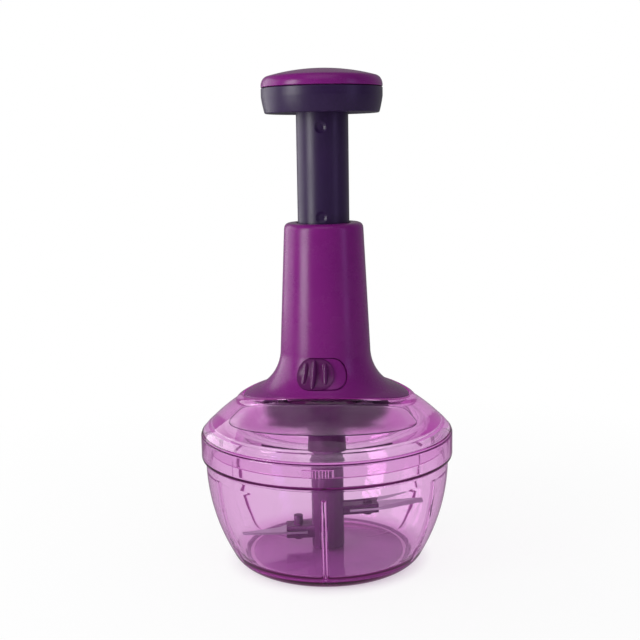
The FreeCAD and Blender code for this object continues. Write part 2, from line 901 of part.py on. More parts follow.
def make_handle():
    """Hollow handle: a tapered column that flares into an oval skirt on the dome."""
    outer = turned("handle_outer", [
        (0, land_bottom),
        (d.skirt_long + d.skirt_spare, land_bottom),
    ] + handle_outline(0) + [
        (d.column_top_radius, handle_top - d.handle_round, d.handle_round),
        (d.column_top_radius - d.handle_round, handle_top),
        (0, handle_top),
    ])
    prism = oval("skirt_prism", d.skirt_long, d.skirt_short, land_bottom,
                 handle_top + d.cut_over)
    trimmed = shared("handle_trimmed", [outer, prism])
    roof = handle_top - d.handle_roof
    cavity = turned("handle_cavity", [
        (0, land_bottom - d.cut_over),
        (d.handle_mouth_radius, land_bottom - d.cut_over),
        (d.handle_mouth_radius, mouth_top, ("in", d.flare_curve + d.handle_wall)),
        (d.column_foot_radius - d.handle_wall, flare_top),
        (d.column_top_radius - d.handle_wall, roof),
        (0, roof),
    ])
    under = ball("skirt_under", skirt_under_radius, dome_centre)
    mouth = cylinder("stem_hole", d.stem_radius + d.stem_hole_gap, roof - d.cut_over,
                     handle_top + d.cut_over)
    near = sleeve_outside
    far = d.skirt_long
    wide = d.button_width + 2 * d.button_gap
    tall = d.switch_slot_height
    slots = [
        stadium("slot_left", wide, tall, near, far, -switch_turn),
        stadium("slot_middle", wide, tall, near, far, 0.0),
        stadium("slot_right", wide, tall, near, far, switch_turn),
    ]
    shell = cut("handle_shell", trimmed, [cavity, under, mouth] + slots)
    posts = []
    pilots = []
    for number, angle in enumerate(post_angles()):
        x = d.post_circle * cosine(angle)
        y = d.post_circle * sine(angle)
        low = land_bottom + d.seat_gap
        post = cylinder("post_bar_%d" % number, d.post_radius, low, low + d.post_height, x, y)
        posts.append(shared("post_%d" % number, [post, outer]))
        pilots.append(cylinder("pilot_%d" % number, d.screw_radius + d.running_gap,
                               low - d.cut_over, low + d.screw_length, x, y))
    whole = fused("handle_with_posts", [shell] + posts)
    return node(cut("handle_body", whole, pilots), "handle_body")


def post_angles():
    """The four screw posts stand either side of the switch and opposite to it."""
    return [FRONT - d.post_angle, FRONT + d.post_angle, BACK - d.post_angle, BACK + d.post_angle]


def make_sleeve():
    """Guide sleeve with three slots for the nut's lugs, wider low down for the lock's teeth."""
    low = land_bottom
    shelf_top = lock_ring_low - d.clearance
    body = turned("sleeve_body", [
        (sleeve_inside, low),
        (sleeve_outside, low),
        (sleeve_outside, shelf_top - d.shelf_thickness - d.shelf_chamfer),
        (sleeve_outside + d.shelf_reach, shelf_top - d.shelf_thickness),
        (sleeve_outside + d.shelf_reach, shelf_top),
        (sleeve_outside, shelf_top),
        (sleeve_outside, sleeve_top),
        (sleeve_inside, sleeve_top),
    ])
    half = d.nut_lug_width / 2 + d.slot_gap
    reach = sleeve_outside + d.shelf_reach + 2 * d.cut_over
    inside = sleeve_inside - 2 * d.cut_over
    slot = pocket(body, "lug_slot", [
        (-half, inside),
        (half, inside),
        (half, reach),
        (-half, reach),
    ], low, nut_flange_top + d.clearance - low)
    left = BACK - tooth_start() - d.tooth_angle - d.window_lead_angle
    right = BACK + d.window_end_angle
    window = pocket(body, "tooth_window", [
        (inside * cosine(right), inside * sine(right)),
        (inside * cosine(left), inside * sine(left)),
        (reach * cosine(left), reach * sine(left)),
        (reach * cosine(right), reach * sine(right)),
    ], low, lock_ring_low + d.lock_ring_height + 2 * d.clearance - low)
    around(body, "lug_slots", [slot, window], d.nut_lug_count)
    return node(body, "guide_sleeve")


def tooth_start():
    """Angle from a lug's centre to the near side of a lock tooth, unlocked."""
    return Size(math.degrees((DIMENSIONS["nut_lug_width"] / 2 + DIMENSIONS["clearance"])
                             / DIMENSIONS["stem_radius"]),
                "(Sizes.nut_lug_width / 2 + Sizes.clearance) / Sizes.stem_radius * 57.29578")


def make_plate():
    """Cover plate screwed up into the handle, which clamps the lid and holds the bearing."""
    bore = d.journal_radius + d.running_gap + d.bush_wall
    body = turned("plate_body", [
        (bore, plate_hub_bottom),
        (d.plate_hub_radius, plate_hub_bottom),
        (d.plate_hub_radius, plate_bottom),
        (d.guard_radius - d.guard_wall, plate_bottom),
        (d.guard_radius - d.guard_wall, guard_bottom),
        (d.guard_radius, guard_bottom),
        (d.guard_radius, plate_bottom),
        (d.land_radius - d.edge_break, plate_bottom),
        (d.land_radius, plate_bottom + d.edge_break),
        (d.land_radius, plate_top),
        (d.plate_boss_radius, plate_top),
        (d.plate_boss_radius, plate_hub_top),
        (bore, plate_hub_top),
    ])
    for number, angle in enumerate(post_angles()):
        hole(body, "screw_hole_%d" % number, d.post_circle * cosine(angle),
             d.post_circle * sine(angle), d.screw_radius + d.screw_slack,
             plate_bottom - d.cut_over, d.plate_thickness + 2 * d.cut_over)
    return node(body, "base_plate")


def make_plate_screws():
    """Four screws up through the plate into the handle's posts."""
    screws = []
    for number, angle in enumerate(post_angles()):
        x = d.post_circle * cosine(angle)
        y = d.post_circle * sine(angle)
        head_top = plate_bottom - d.seat_gap
        head = cylinder("screw_head_%d" % number, d.screw_head_radius,
                        head_top - d.screw_head_height, head_top, x, y)
        shank = cylinder("screw_shank_%d" % number, d.screw_radius,
                         head_top - d.screw_head_height / 2,
                         land_bottom + d.screw_length - d.screw_point, x, y)
        screws.append(fused("plate_screw_%d" % number, [head, shank]))
    group = doc.addObject("Part::Compound", "plate_screw_group")
    group.Links = screws
    return node(group, "base_plate_screws")


def make_bush():
    """Flanged bush that the twisted bar's journal turns in."""
    bore = d.journal_radius + d.running_gap
    outside = bore + d.bush_wall - d.press_gap
    return node(turned("bush_body", [
        (bore, plate_hub_bottom),
        (outside, plate_hub_bottom),
        (outside, plate_hub_top),
        (d.bush_flange_radius, plate_hub_top),
        (d.bush_flange_radius, plate_hub_top + d.bush_flange),
        (bore, plate_hub_top + d.bush_flange),
    ]), "spindle_bush")


# Lock ---------------------------------------------------------------------------------------

def make_slider():
    """Thumb switch: a curved shield behind the slot, with a dished button and three fins."""
    wall = d.handle_wall + d.shroud_gap
    thick = d.shroud_thickness
    curve = d.flare_curve + wall
    lean = math.sqrt(0.5)
    foot = d.handle_mouth_radius - d.shroud_gap * lean
    foot_height = mouth_top - d.shroud_gap * lean
    head = d.column_foot_radius - wall
    straight_top = head - d.shroud_taper
    shield = body_of("shield_body")
    half_turn = switch_turn + arc_angle(d.switch_slot_width / 2, switch_radius) + d.shroud_spare_angle
    turn(shield, "shield", [
        (foot - thick * lean, foot_height - thick * lean),
        (foot, foot_height, ("in", curve)),
        (head, flare_top),
        (straight_top, flare_top + d.shroud_over),
        (straight_top - thick, flare_top + d.shroud_over),
        (head - thick, flare_top, curve + thick),
    ], 2 * half_turn)
    place(shield, angle=FRONT - switch_turn)
    near = sleeve_outside
    far = d.skirt_long
    tall = d.switch_slot_height - 2 * d.button_gap
    prism = stadium("button_prism", d.button_width, tall, near, far, -switch_turn)
    button_skin = turned("button_skin", button_layer(d.button_proud))
    button = shared("button", [prism, button_skin])
    dish_prism = stadium("dish_prism", d.button_width - 2 * d.dish_border,
                         tall - 2 * d.dish_border, near, far, -switch_turn)
    dish_skin = turned("dish_skin", button_layer(d.button_proud - d.button_dish))
    dish = cut("dish", dish_prism, [dish_skin])
    fins = []
    fin_skin = turned("fin_skin", button_layer(d.fin_rise))
    for number in (-1, 0, 1):
        tall_fin = d.fin_height - abs(number) * d.fin_shortening
        fin = block("fin_block_%d" % (number + 1), d.fin_thickness, far - near, tall_fin,
                    number * d.fin_spacing - d.fin_thickness / 2, -far,
                    switch_height - tall_fin / 2)
        turned_fin = turned_about("fin_turned_%d" % (number + 1), fin, -switch_turn)
        fins.append(shared("fin_%d" % (number + 1), [turned_fin, fin_skin]))
    dished = cut("dished_button", button, [dish])
    whole = fused("slider_whole", [shield, dished] + fins)
    return node(cut("lock_slider", whole, [lock_tab("tab_pocket", d.seat_gap)]), "lock_slider")


def lock_tab(name, gap):
    """Tab of the lock ring that reaches forward into the switch, grown by a gap."""
    reach = d.column_foot_radius + d.tab_depth - lock_ring_outside
    tab = block(name + "_block", d.tab_width + 2 * gap, reach + d.cut_over + gap,
                d.lock_ring_height + 2 * gap, -d.tab_width / 2 - gap,
                -lock_ring_outside - reach - gap, lock_ring_low - gap)
    return turned_about(name, tab, -switch_turn)


def button_layer(rise):
    """Solid whose outer face follows the handle's flare, lifted by a rise."""
    inside = d.column_foot_radius - d.handle_wall - d.shroud_gap - d.button_root
    top = flare_top + d.handle_round
    return [
        (inside, dome_centre),
        (d.skirt_long + d.skirt_spare, dome_centre),
    ] + handle_outline(rise) + [
        (d.column_foot_radius + rise, top),
        (inside, top),
    ]


def make_lock_ring():
    """Ring round the sleeve, with three teeth that turn in over the nut's lugs."""
    low = lock_ring_low
    high = low + d.lock_ring_height
    body = body_of("lock_ring_body")
    turn(body, "lock_band", [
        (lock_ring_inside, low),
        (lock_ring_outside, low),
        (lock_ring_outside, high),
        (lock_ring_inside, high),
    ])
    inner = lock_ring_inside - d.tooth_reach
    tooth = turn(body, "lock_tooth", [
        (inner, low),
        (lock_ring_inside + d.overlap, low),
        (lock_ring_inside + d.overlap, high),
        (inner, high),
    ], d.tooth_angle)
    around(body, "lock_teeth", [tooth], d.nut_lug_count)
    place(body, angle=BACK - tooth_start() - d.tooth_angle / 2)
    return node(fused("lock_ring", [body, lock_tab("lock_tab", 0)]), "lock_ring")


# Plunger ------------------------------------------------------------------------------------

def make_stem():
    """Stem tube with a web near its top, which the spring pushes on."""
    body = turned("stem_body", [
        (stem_inside, stem_bottom),
        (d.stem_radius, stem_bottom),
        (d.stem_radius, stem_top),
        (stem_inside, stem_top),
        (stem_inside, web_top),
        (d.knob_screw_radius + d.running_gap, web_top),
        (d.knob_screw_radius + d.running_gap, web_bottom - d.web_boss_height),
        (d.web_boss_radius, web_bottom - d.web_boss_height),
        (d.web_boss_radius, web_bottom),
        (stem_inside, web_bottom),
    ])
    dimples = []
    places = (("high", knob_bottom - d.dimple_drop), ("low", handle_top + d.dimple_rise))
    for word, height in places:
        dimple = doc.addObject("Part::Cylinder", "dimple_" + word)
        bind(dimple, "Radius", d.dimple_radius)
        bind(dimple, "Height", d.dimple_depth + d.cut_over)
        place(dimple, 0, d.dimple_depth - d.stem_radius, height, X_AXIS, 90)
        dimples.append(dimple)
    return node(cut("plunger_stem", body, dimples + nut_pin_bars("stem", d.pin_gap)), "plunger_stem")


def nut_pin_bars(word, gap):
    """Two short bars through the stem's wall into the nut, grown by a gap."""
    bars = []
    for number, angle in enumerate((0, 180)):
        bar = doc.addObject("Part::Cylinder", "pin_bar_%s_%d" % (word, number))
        bind(bar, "Radius", d.nut_pin_radius + gap)
        bind(bar, "Height", d.nut_pin_length + gap)
        out = d.stem_radius - d.nut_pin_length
        place(bar, out * cosine(angle), 0, stem_bottom + d.nut_plug / 2, Y_AXIS,
              90 if angle == 0 else -90)
        bars.append(bar)
    return bars


def twisted_bar(width, thickness, low, high):
    """A flat bar twisted about Z, by one turn in each lead."""
    lead = DIMENSIONS["bar_lead"]
    steps = max(int(math.ceil((high - low) / lead * 16)), 2)
    slices = []
    for step in range(steps + 1):
        height = low + (high - low) * step / steps
        angle = 2 * math.pi * height / lead
        corners = []
        for side, face in ((1, 1), (-1, 1), (-1, -1), (1, -1)):
            x, y = side * width / 2, face * thickness / 2
            corners.append(FreeCAD.Vector(x * math.cos(angle) - y * math.sin(angle),
                                          x * math.sin(angle) + y * math.cos(angle), height))
        slices.append(Part.makePolygon(corners + corners[:1]))
    return Part.makeLoft(slices, True, False)


def make_nut():
    """Drive nut in the stem's foot: the twisted slot turns the bar, the lugs hold it straight."""
    plug = stem_inside - d.nut_plug_gap
    body = turned("nut_body", [
        (0, nut_bottom),
        (d.stem_radius - d.clearance / 2, nut_bottom),
        (d.stem_radius - d.clearance / 2, nut_flange_top),
        (plug, nut_flange_top),
        (plug, nut_flange_top + d.nut_plug),
        (0, nut_flange_top + d.nut_plug),
    ])
    half = d.nut_lug_width / 2
    lug = pad(body, "nut_lug", [
        (-half, plug),
        (half, plug),
        (half, d.nut_lug_reach),
        (-half, d.nut_lug_reach),
    ], nut_bottom, d.nut_flange)
    around(body, "nut_lugs", [lug], d.nut_lug_count)
    slot = shaped("nut_slot", twisted_bar(
        number_of(d.bar_width + 2 * d.bar_slot_gap),
        number_of(d.bar_thickness + 2 * d.bar_slot_gap),
        number_of(nut_bottom - d.cut_over),
        number_of(nut_flange_top + d.nut_plug + d.cut_over)))
    return node(cut("drive_nut", body, [slot] + nut_pin_bars("nut", d.pin_gap)), "drive_nut")


def make_nut_pins():
    group = doc.addObject("Part::Compound", "nut_pin_group")
    group.Links = nut_pin_bars("own", 0.0)
    return node(group, "nut_pins")


def make_grip():
    """Soft dark ring of the knob, hollow underneath, plugged into the stem."""
    top_inside = d.knob_radius - d.knob_wall
    bottom = knob_bottom
    stem_side = d.stem_radius + d.seat_gap
    plug = stem_inside - d.nut_plug_gap
    return node(turned("grip_body", [
        (d.knob_screw_radius + d.screw_slack, web_top + d.seat_gap),
        (plug, web_top + d.seat_gap),
        (plug, grip_floor_bottom),
        (stem_side, grip_floor_bottom),
        (stem_side, bottom + d.knob_hollow, ("in", d.grip_under_curve)),
        (d.knob_foot_radius - d.knob_round, bottom, d.knob_round),
        (d.knob_foot_radius, bottom + d.knob_round, d.grip_side_curve),
        (d.knob_radius, grip_top - d.knob_shoulder),
        (d.knob_radius, grip_top),
        (top_inside + d.grip_chamfer, grip_top),
        (top_inside, grip_top - d.grip_chamfer),
        (top_inside, grip_floor_top),
        (d.knob_screw_radius + d.screw_slack, grip_floor_top),
    ]), "knob_grip")


def crown(half_width, rise):
    """Radius of the arc that rises so much over half its width."""
    return (half_width * half_width + rise * rise) / (2 * rise)


def make_cap():
    """Domed cap that snaps into the top of the knob."""
    skirt_outside = d.knob_radius - d.knob_wall - d.nut_plug_gap
    skirt_inside = skirt_outside - d.cap_skirt_wall
    shoulder = d.knob_radius - d.cap_shoulder_inset
    shoulder_height = seam_height + d.cap_shoulder_rise
    inner_shoulder = shoulder - d.cap_wall
    inner_height = shoulder_height - d.cap_wall / 2
    inner_top = knob_top - d.cap_wall
    return node(turned("cap_body", [
        (0, inner_top, ("in", crown(inner_shoulder, inner_top - inner_height))),
        (inner_shoulder, inner_height),
        (skirt_inside, seam_height + d.cap_foot_rise),
        (skirt_inside, seam_height - d.cap_skirt),
        (skirt_outside, seam_height - d.cap_skirt),
        (skirt_outside, seam_height),
        (d.knob_radius, seam_height),
        (d.knob_radius, seam_height + d.cap_side, d.cap_side_curve),
        (shoulder, shoulder_height, crown(shoulder, knob_top - shoulder_height)),
        (0, knob_top),
    ]), "knob_cap")


def make_knob_screw():
    """Screw down through the knob's floor into the stem's web."""
    head_bottom = grip_floor_top + d.seat_gap
    return node(turned("knob_screw_body", [
        (0, web_bottom - d.web_boss_height + d.screw_point),
        (d.knob_screw_radius, web_bottom - d.web_boss_height + d.screw_point),
        (d.knob_screw_radius, head_bottom),
        (d.knob_screw_head, head_bottom),
        (d.knob_screw_head, head_bottom + d.knob_screw_head_height),
        (0, head_bottom + d.knob_screw_head_height),
    ]), "knob_screw")


def make_spring():
    """Return spring in the stem, from its seat on the bar to the stem's web."""
    low = bar_top + d.bearing_gap + d.seat_thickness + d.spring_wire + d.seat_gap
    high = web_bottom - d.spring_wire - d.seat_gap
    helix = doc.addObject("Part::Helix", "spring_helix")
    bind(helix, "Radius", d.spring_radius)
    bind(helix, "Height", high - low)
    bind(helix, "Pitch", (high - low) / d.spring_turns)
    place(helix, z=low)
    wire = doc.addObject("Part::Circle", "spring_wire_circle")
    bind(wire, "Radius", d.spring_wire)
    place(wire, x=d.spring_radius, z=low, axis=X_AXIS, angle=90)
    sweep = doc.addObject("Part::Sweep", "spring_sweep")
    sweep.Sections = [wire]
    sweep.Spine = (helix, [])
    sweep.Solid = True
    sweep.Frenet = True
    return node(sweep, "return_spring")


# Drive --------------------------------------------------------------------------------------

def make_spindle():
    """Twisted bar with its collar, journal, ring groove and square end."""
    bar = shaped("bar_twist", twisted_bar(
        DIMENSIONS["bar_width"], DIMENSIONS["bar_thickness"],
        number_of(bar_bottom - d.collar_thickness / 2), number_of(bar_top)))
    collar = cylinder("bar_collar", d.collar_radius, journal_top, bar_bottom)
    journal = cylinder("bar_journal", d.journal_radius, ring_top + d.seat_gap, journal_top)
    neck = cylinder("bar_neck", d.groove_radius, groove_bottom, ring_top + d.seat_gap)
    square = block("bar_square", d.square_width, d.square_width,
                   groove_bottom - square_bottom, -d.square_width / 2, -d.square_width / 2,
                   square_bottom)
    whole = fused("spindle_whole", [bar, collar, journal, neck, square])
    bore = cylinder("spindle_tapping", d.screw_radius + d.running_gap,
                    square_bottom - d.cut_over, square_bottom + d.screw_length)
    return node(cut("twist_spindle", whole, [bore]), "twist_spindle")


def make_seat():
    """Cap on the bar's top that the spring stands on, while the bar turns under it."""
    low = bar_top + d.bearing_gap
    return node(turned("seat_body", [
        (0, low),
        (d.seat_radius, low),
        (d.seat_radius, low + d.seat_thickness),
        (d.seat_spigot_radius, low + d.seat_thickness),
        (d.seat_spigot_radius - d.edge_break, low + d.seat_thickness + d.seat_spigot_height),
        (0, low + d.seat_thickness + d.seat_spigot_height),
    ]), "spring_seat")


def make_washer():
    return node(turned("washer_body", [
        (d.journal_radius + d.running_gap, washer_bottom),
        (d.washer_radius, washer_bottom),
        (d.washer_radius, washer_top),
        (d.journal_radius + d.running_gap, washer_top),
    ]), "thrust_washer")


def make_ring():
    """Open spring ring in the spindle's groove."""
    inside = d.groove_radius + d.seat_gap
    band = turned("ring_band", [
        (inside, ring_bottom),
        (d.ring_radius, ring_bottom),
        (d.ring_radius, ring_top),
        (inside, ring_top),
    ])
    opening = cylinder("ring_opening_wedge", d.ring_radius + d.cut_over,
                       ring_bottom - d.cut_over, ring_top + d.cut_over,
                       start=-d.ring_opening / 2, sweep=d.ring_opening)
    return node(cut("retaining_ring", band, [opening]), "retaining_ring")


def make_head():
    """Drive head under the lid: its socket slips over the hub, and two dogs turn it."""
    lip_top = head_bottom + d.head_lip_height
    body = body_of("head_body")
    turn(body, "head_turn", [
        (0, head_roof),
        (d.head_socket_radius, head_roof),
        (d.head_socket_radius, head_bottom),
        (d.head_lip_radius, head_bottom),
        (d.head_lip_radius, lip_top),
        (d.head_cone_radius, lip_top + d.head_cone_height),
        (d.head_top_radius, head_top),
        (0, head_top),
    ])
    inner = stub_outside() - d.dog_depth + d.clearance
    turn_back = (d.dog_angle + d.head_dog_angle) / 2 + d.dog_lead_gap
    dog = turn(body, "head_dog", [
        (inner, head_bottom),
        (d.head_socket_radius + d.overlap, head_bottom),
        (d.head_socket_radius + d.overlap, head_bottom + d.dog_height),
        (inner, head_bottom + d.dog_height),
    ], d.head_dog_angle, 180 - turn_back)
    around(body, "head_dogs", [dog], 2)
    half = (d.square_width + d.seat_gap) / 2
    pocket(body, "square_socket", [
        (-half, -half),
        (half, -half),
        (half, half),
        (-half, half),
    ], square_bottom - d.seat_gap, head_top + d.cut_over - square_bottom)
    hole(body, "head_screw_hole", 0, 0, d.screw_radius + d.screw_slack,
         head_roof - d.cut_over, square_bottom + 2 * d.cut_over - head_roof)
    return node(body, "drive_head")


def stub_outside():
    return d.head_socket_radius - d.clearance


def make_head_screw():
    """Screw up through the socket's roof into the spindle's square end."""
    seat = head_roof - d.seat_gap
    return node(turned("head_screw_body", [
        (0, seat - d.screw_head_height),
        (d.screw_head_radius, seat - d.screw_head_height),
        (d.screw_head_radius, seat),
        (d.screw_radius, seat),
        (d.screw_radius, square_bottom + d.screw_length - d.screw_point),
        (0, square_bottom + d.screw_length - d.screw_point),
    ]), "drive_head_screw")


# Blades -------------------------------------------------------------------------------------

BLADE_HEIGHTS = {
    "low": floor_top + d.low_blade_rise,
    "mid": hub_shoulder - d.mid_blade_drop,
    "high": hub_shoulder - d.high_blade_drop,
}


def blade_sizes(word):
    """Height, reach, arm reach, arm height, pin circle, pin top and angle of one blade."""
    height = BLADE_HEIGHTS[word]
    gap, arm_reach, arm_height, circle, pin_rise, angle = [
        getattr(d, "%s_%s" % (word, name)) for name in (
            "blade_gap", "arm_reach", "arm_height", "pin_circle", "pin_rise", "blade_angle")]
    return height, d.bowl_rim_radius - gap, arm_reach, arm_height, circle, height + pin_rise, angle


def make_hub():
    """Blade hub: a column on the pivot pin with three slotted arms and two dogs on top."""
    bore = d.pivot_radius + d.running_gap
    counterbore = d.boss_radius + d.clearance
    body = body_of("hub_body")
    turn(body, "hub_turn", [
        (0, pivot_top + d.clearance),
        (bore, pivot_top + d.clearance),
        (bore, floor_top + d.boss_height + d.clearance),
        (counterbore, floor_top + d.boss_height + d.clearance),
        (counterbore, floor_top + d.hub_lift),
        (d.hub_radius, floor_top + d.hub_lift),
        (d.hub_radius, hub_shoulder),
        (d.stub_radius, hub_shoulder),
        (d.stub_radius, hub_shoulder + d.stub_height),
        (0, hub_shoulder + d.stub_height),
    ])
    dog = turn(body, "hub_dog", [
        (d.stub_radius - d.overlap, hub_shoulder - d.overlap),
        (stub_outside(), hub_shoulder - d.overlap),
        (stub_outside(), hub_shoulder + d.dog_height),
        (d.stub_radius - d.overlap, hub_shoulder + d.dog_height),
    ], d.dog_angle)
    around(body, "hub_dogs", [dog], 2)
    pieces = [body]
    cuts = []
    for word in BLADE_HEIGHTS:
        height, reach, arm_reach, arm_height, circle, pin_top, angle = blade_sizes(word)
        start = counterbore
        arm = block("arm_" + word, arm_reach - start, d.arm_width, arm_height,
                    start, -d.arm_width / 2, height - arm_height / 2)
        pieces.append(turned_about("arm_turned_" + word, arm, angle))
        gap = d.blade_slot_gap
        wide = d.blade_width + 2 * d.cut_over
        slot = block("blade_slot_" + word, arm_reach + d.cut_over - d.blade_root + gap, wide,
                     d.blade_thickness + 2 * gap, d.blade_root - gap, -wide / 2,
                     height - d.blade_thickness / 2 - gap)
        cuts.append(turned_about("slot_turned_" + word, slot, angle))
        cuts.append(cylinder("pin_hole_" + word, d.pin_radius + d.pin_gap,
                             height - arm_height / 2 - d.cut_over,
                             height + arm_height / 2 + d.cut_over,
                             circle * cosine(angle), circle * sine(angle)))
    return node(cut("blade_hub", fused("hub_with_arms", pieces), cuts), "blade_hub")


def make_blade(word):
    """A thin sickle blade: straight root in its arm, curved edge, hooked tip."""
    height, reach, arm_reach, arm_height, circle, pin_top, angle = blade_sizes(word)
    half = d.blade_width / 2
    tip = d.blade_tip_width
    body = body_of("blade_body_" + word)
    pad(body, "blade_" + word, [
        (d.blade_root, -half),
        (arm_reach + d.blade_heel, -half, ("in", d.blade_edge_curve)),
        (reach, half - tip, d.blade_tip_curve),
        (reach - tip / 2, half, d.blade_back_curve),
        (arm_reach + d.cut_over, half),
        (d.blade_root, half),
    ], height - d.blade_thickness / 2, d.blade_thickness)
    hole(body, "blade_hole_" + word, circle, 0, d.pin_radius + d.pin_gap,
         height - d.blade_thickness, 2 * d.blade_thickness)
    place(body, angle=angle)
    return node(body, "blade_" + word)


def make_blade_pins():
    """Pins that hold the blades in their arms and stand up above them."""
    pins = []
    for word in BLADE_HEIGHTS:
        height, reach, arm_reach, arm_height, circle, pin_top, angle = blade_sizes(word)
        pins.append(cylinder("blade_pin_" + word, d.pin_radius,
                             height - arm_height / 2 - d.pin_foot, pin_top,
                             circle * cosine(angle), circle * sine(angle)))
    group = doc.addObject("Part::Compound", "blade_pin_group")
    group.Links = pins
    return node(group, "blade_pins")


# The whole chopper --------------------------------------------------------------------------

make_bowl()
make_foot()
make_pivot()
make_seal()
make_lid()
make_handle()
make_sleeve()
make_plate()
make_plate_screws()
make_bush()
make_slider()
make_lock_ring()
make_stem()
make_nut()
make_nut_pins()
make_grip()
make_cap()
make_knob_screw()
make_spring()
make_spindle()
make_seat()
make_washer()
make_ring()
make_head()
make_head_screw()
make_hub()
for blade_word in BLADE_HEIGHTS:
    make_blade(blade_word)
make_blade_pins()

doc.recompute()
faults = [item.Name for item in doc.Objects
          if "Invalid" in item.State or "Error" in item.State]
for thing, label in NODES:
    if thing.Shape.isNull() or not thing.Shape.isValid() or not thing.Shape.Solids:
        faults.append(label)
if faults:
    raise RuntimeError("these failed: " + ", ".join(faults))
os.makedirs("parts", exist_ok=True)
for thing, label in NODES:
    thing.Shape.exportStep("parts/%s.step" % label)
    print(label, len(thing.Shape.Solids), round(thing.Shape.Volume, 1))
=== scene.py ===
"""Plunger food chopper: finishes, moulded detail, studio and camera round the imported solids.

Metres, +Z up, the lock switch faces -Y. Shapes are drawn in millimetres, and MM scales them.
"""

import bisect
import math

import bmesh
import bpy
from mathutils import Matrix, Vector


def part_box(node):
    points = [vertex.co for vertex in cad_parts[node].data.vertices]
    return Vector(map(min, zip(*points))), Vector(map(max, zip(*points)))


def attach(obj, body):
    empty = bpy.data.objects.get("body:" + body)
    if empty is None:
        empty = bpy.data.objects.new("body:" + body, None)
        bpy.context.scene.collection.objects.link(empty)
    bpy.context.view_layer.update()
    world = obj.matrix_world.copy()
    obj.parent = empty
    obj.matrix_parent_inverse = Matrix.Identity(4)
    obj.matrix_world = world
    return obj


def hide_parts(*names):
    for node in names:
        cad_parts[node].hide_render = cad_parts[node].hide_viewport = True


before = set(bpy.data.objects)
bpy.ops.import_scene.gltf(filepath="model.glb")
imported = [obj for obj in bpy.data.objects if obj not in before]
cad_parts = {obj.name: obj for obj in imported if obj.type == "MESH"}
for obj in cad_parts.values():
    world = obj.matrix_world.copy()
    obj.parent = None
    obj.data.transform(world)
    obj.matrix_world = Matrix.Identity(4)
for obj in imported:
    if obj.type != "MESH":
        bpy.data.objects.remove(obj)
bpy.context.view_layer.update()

MM = 0.001
FRONT = math.radians(-90)


# Shader helpers -----------------------------------------------------------------------------

class Wire:
    """A shader socket that takes part in Python sums."""

    def __init__(self, shader, socket):
        self.shader = shader
        self.socket = socket

    def sum(self, operation, first, second=None):
        """The result of a math node on one or two values or wires."""
        values = {0: first} if second is None else {0: first, 1: second}
        return self.shader.node("ShaderNodeMath", {"operation": operation}, values)

    def __add__(self, other):
        return self.sum("ADD", self, other)

    def __radd__(self, other):
        return self.sum("ADD", other, self)

    def __sub__(self, other):
        return self.sum("SUBTRACT", self, other)

    def __rsub__(self, other):
        return self.sum("SUBTRACT", other, self)

    def __mul__(self, other):
        return self.sum("MULTIPLY", self, other)

    def __truediv__(self, other):
        return self.sum("DIVIDE", self, other)

    def limited(self):
        """The value held between 0 and 1."""
        return self.shader.node("ShaderNodeClamp", {}, {"Value": self})


class Shader:
    """The node tree of one material, or of the world."""

    def __init__(self, name, owner=None):
        self.owner = owner or bpy.data.materials.new(name)
        self.owner.use_nodes = True
        self.tree = self.owner.node_tree
        self.tree.nodes.clear()

    def node(self, kind, settings=None, values=None, output=0):
        """Adds a node: its settings first, then the values or wires of its sockets."""
        made = self.tree.nodes.new(kind)
        for word, value in (settings or {}).items():
            if word == "stops":
                self.set_stops(made.color_ramp, value)
            else:
                setattr(made, word, value)
        for socket, value in (values or {}).items():
            if isinstance(value, Wire):
                self.tree.links.new(value.socket, made.inputs[socket])
            else:
                made.inputs[socket].default_value = value
        return Wire(self, made.outputs[output])

    def set_stops(self, ramp, stops):
        """Gives a colour ramp its stops of (place, colour)."""
        for number, (place, colour) in enumerate(stops):
            stop = ramp.elements[number] if number < 2 else ramp.elements.new(place)
            stop.position = place
            stop.color = colour

    def place(self):
        """The point on the piece, in metres."""
        return self.node("ShaderNodeTexCoord", output=3)

    def stretched(self, scale):
        """The point on the piece, scaled along X, Y and Z."""
        return self.node("ShaderNodeMapping", {}, {"Vector": self.place(), "Scale": scale})

    def noise(self, grain, detail=2.0, where=None):
        """Noise whose blotches are about one grain across, in metres."""
        return self.node("ShaderNodeTexNoise", {}, {
            "Vector": where or self.place(), "Scale": 1 / grain, "Detail": detail})

    def ramp(self, factor, stops):
        """A value that follows stops of (place, level)."""
        colours = [(place, (level, level, level, 1)) for place, level in stops]
        return self.node("ShaderNodeValToRGB", {"stops": colours}, {"Fac": factor})

    def blend(self, factor, first, second):
        """A colour between two."""
        return self.node("ShaderNodeMix", {"data_type": "RGBA"},
                         {0: factor, 6: first, 7: second}, output=2)

    def bump(self, height, depth, normal=None):
        """A normal bent by relief of a depth in metres."""
        values = {"Height": height, "Distance": depth, "Strength": 1.0}
        if normal is not None:
            values["Normal"] = normal
        return self.node("ShaderNodeBump", {}, values)

    def principled(self, values):
        return self.node("ShaderNodeBsdfPrincipled", {}, values)

    def mixed(self, factor, first, second):
        """A shader between two."""
        return self.node("ShaderNodeMixShader", {}, {0: factor, 1: first, 2: second})

    def ray(self, fact):
        """A fact about the ray, such as Is Shadow Ray or Glossy Depth."""
        return self.node("ShaderNodeLightPath", output=fact)

    def finish(self, surface, volume=None):
        """Joins the shaders to the output, and gives back the material or the world."""
        kind = "ShaderNodeOutputWorld" if isinstance(self.owner, bpy.types.World) \
            else "ShaderNodeOutputMaterial"
        out = self.tree.nodes.new(kind)
        self.tree.links.new(surface.socket, out.inputs["Surface"])
        if volume is not None:
            self.tree.links.new(volume.socket, out.inputs["Volume"])
        return self.owner


# Finishes -----------------------------------------------------------------------------------

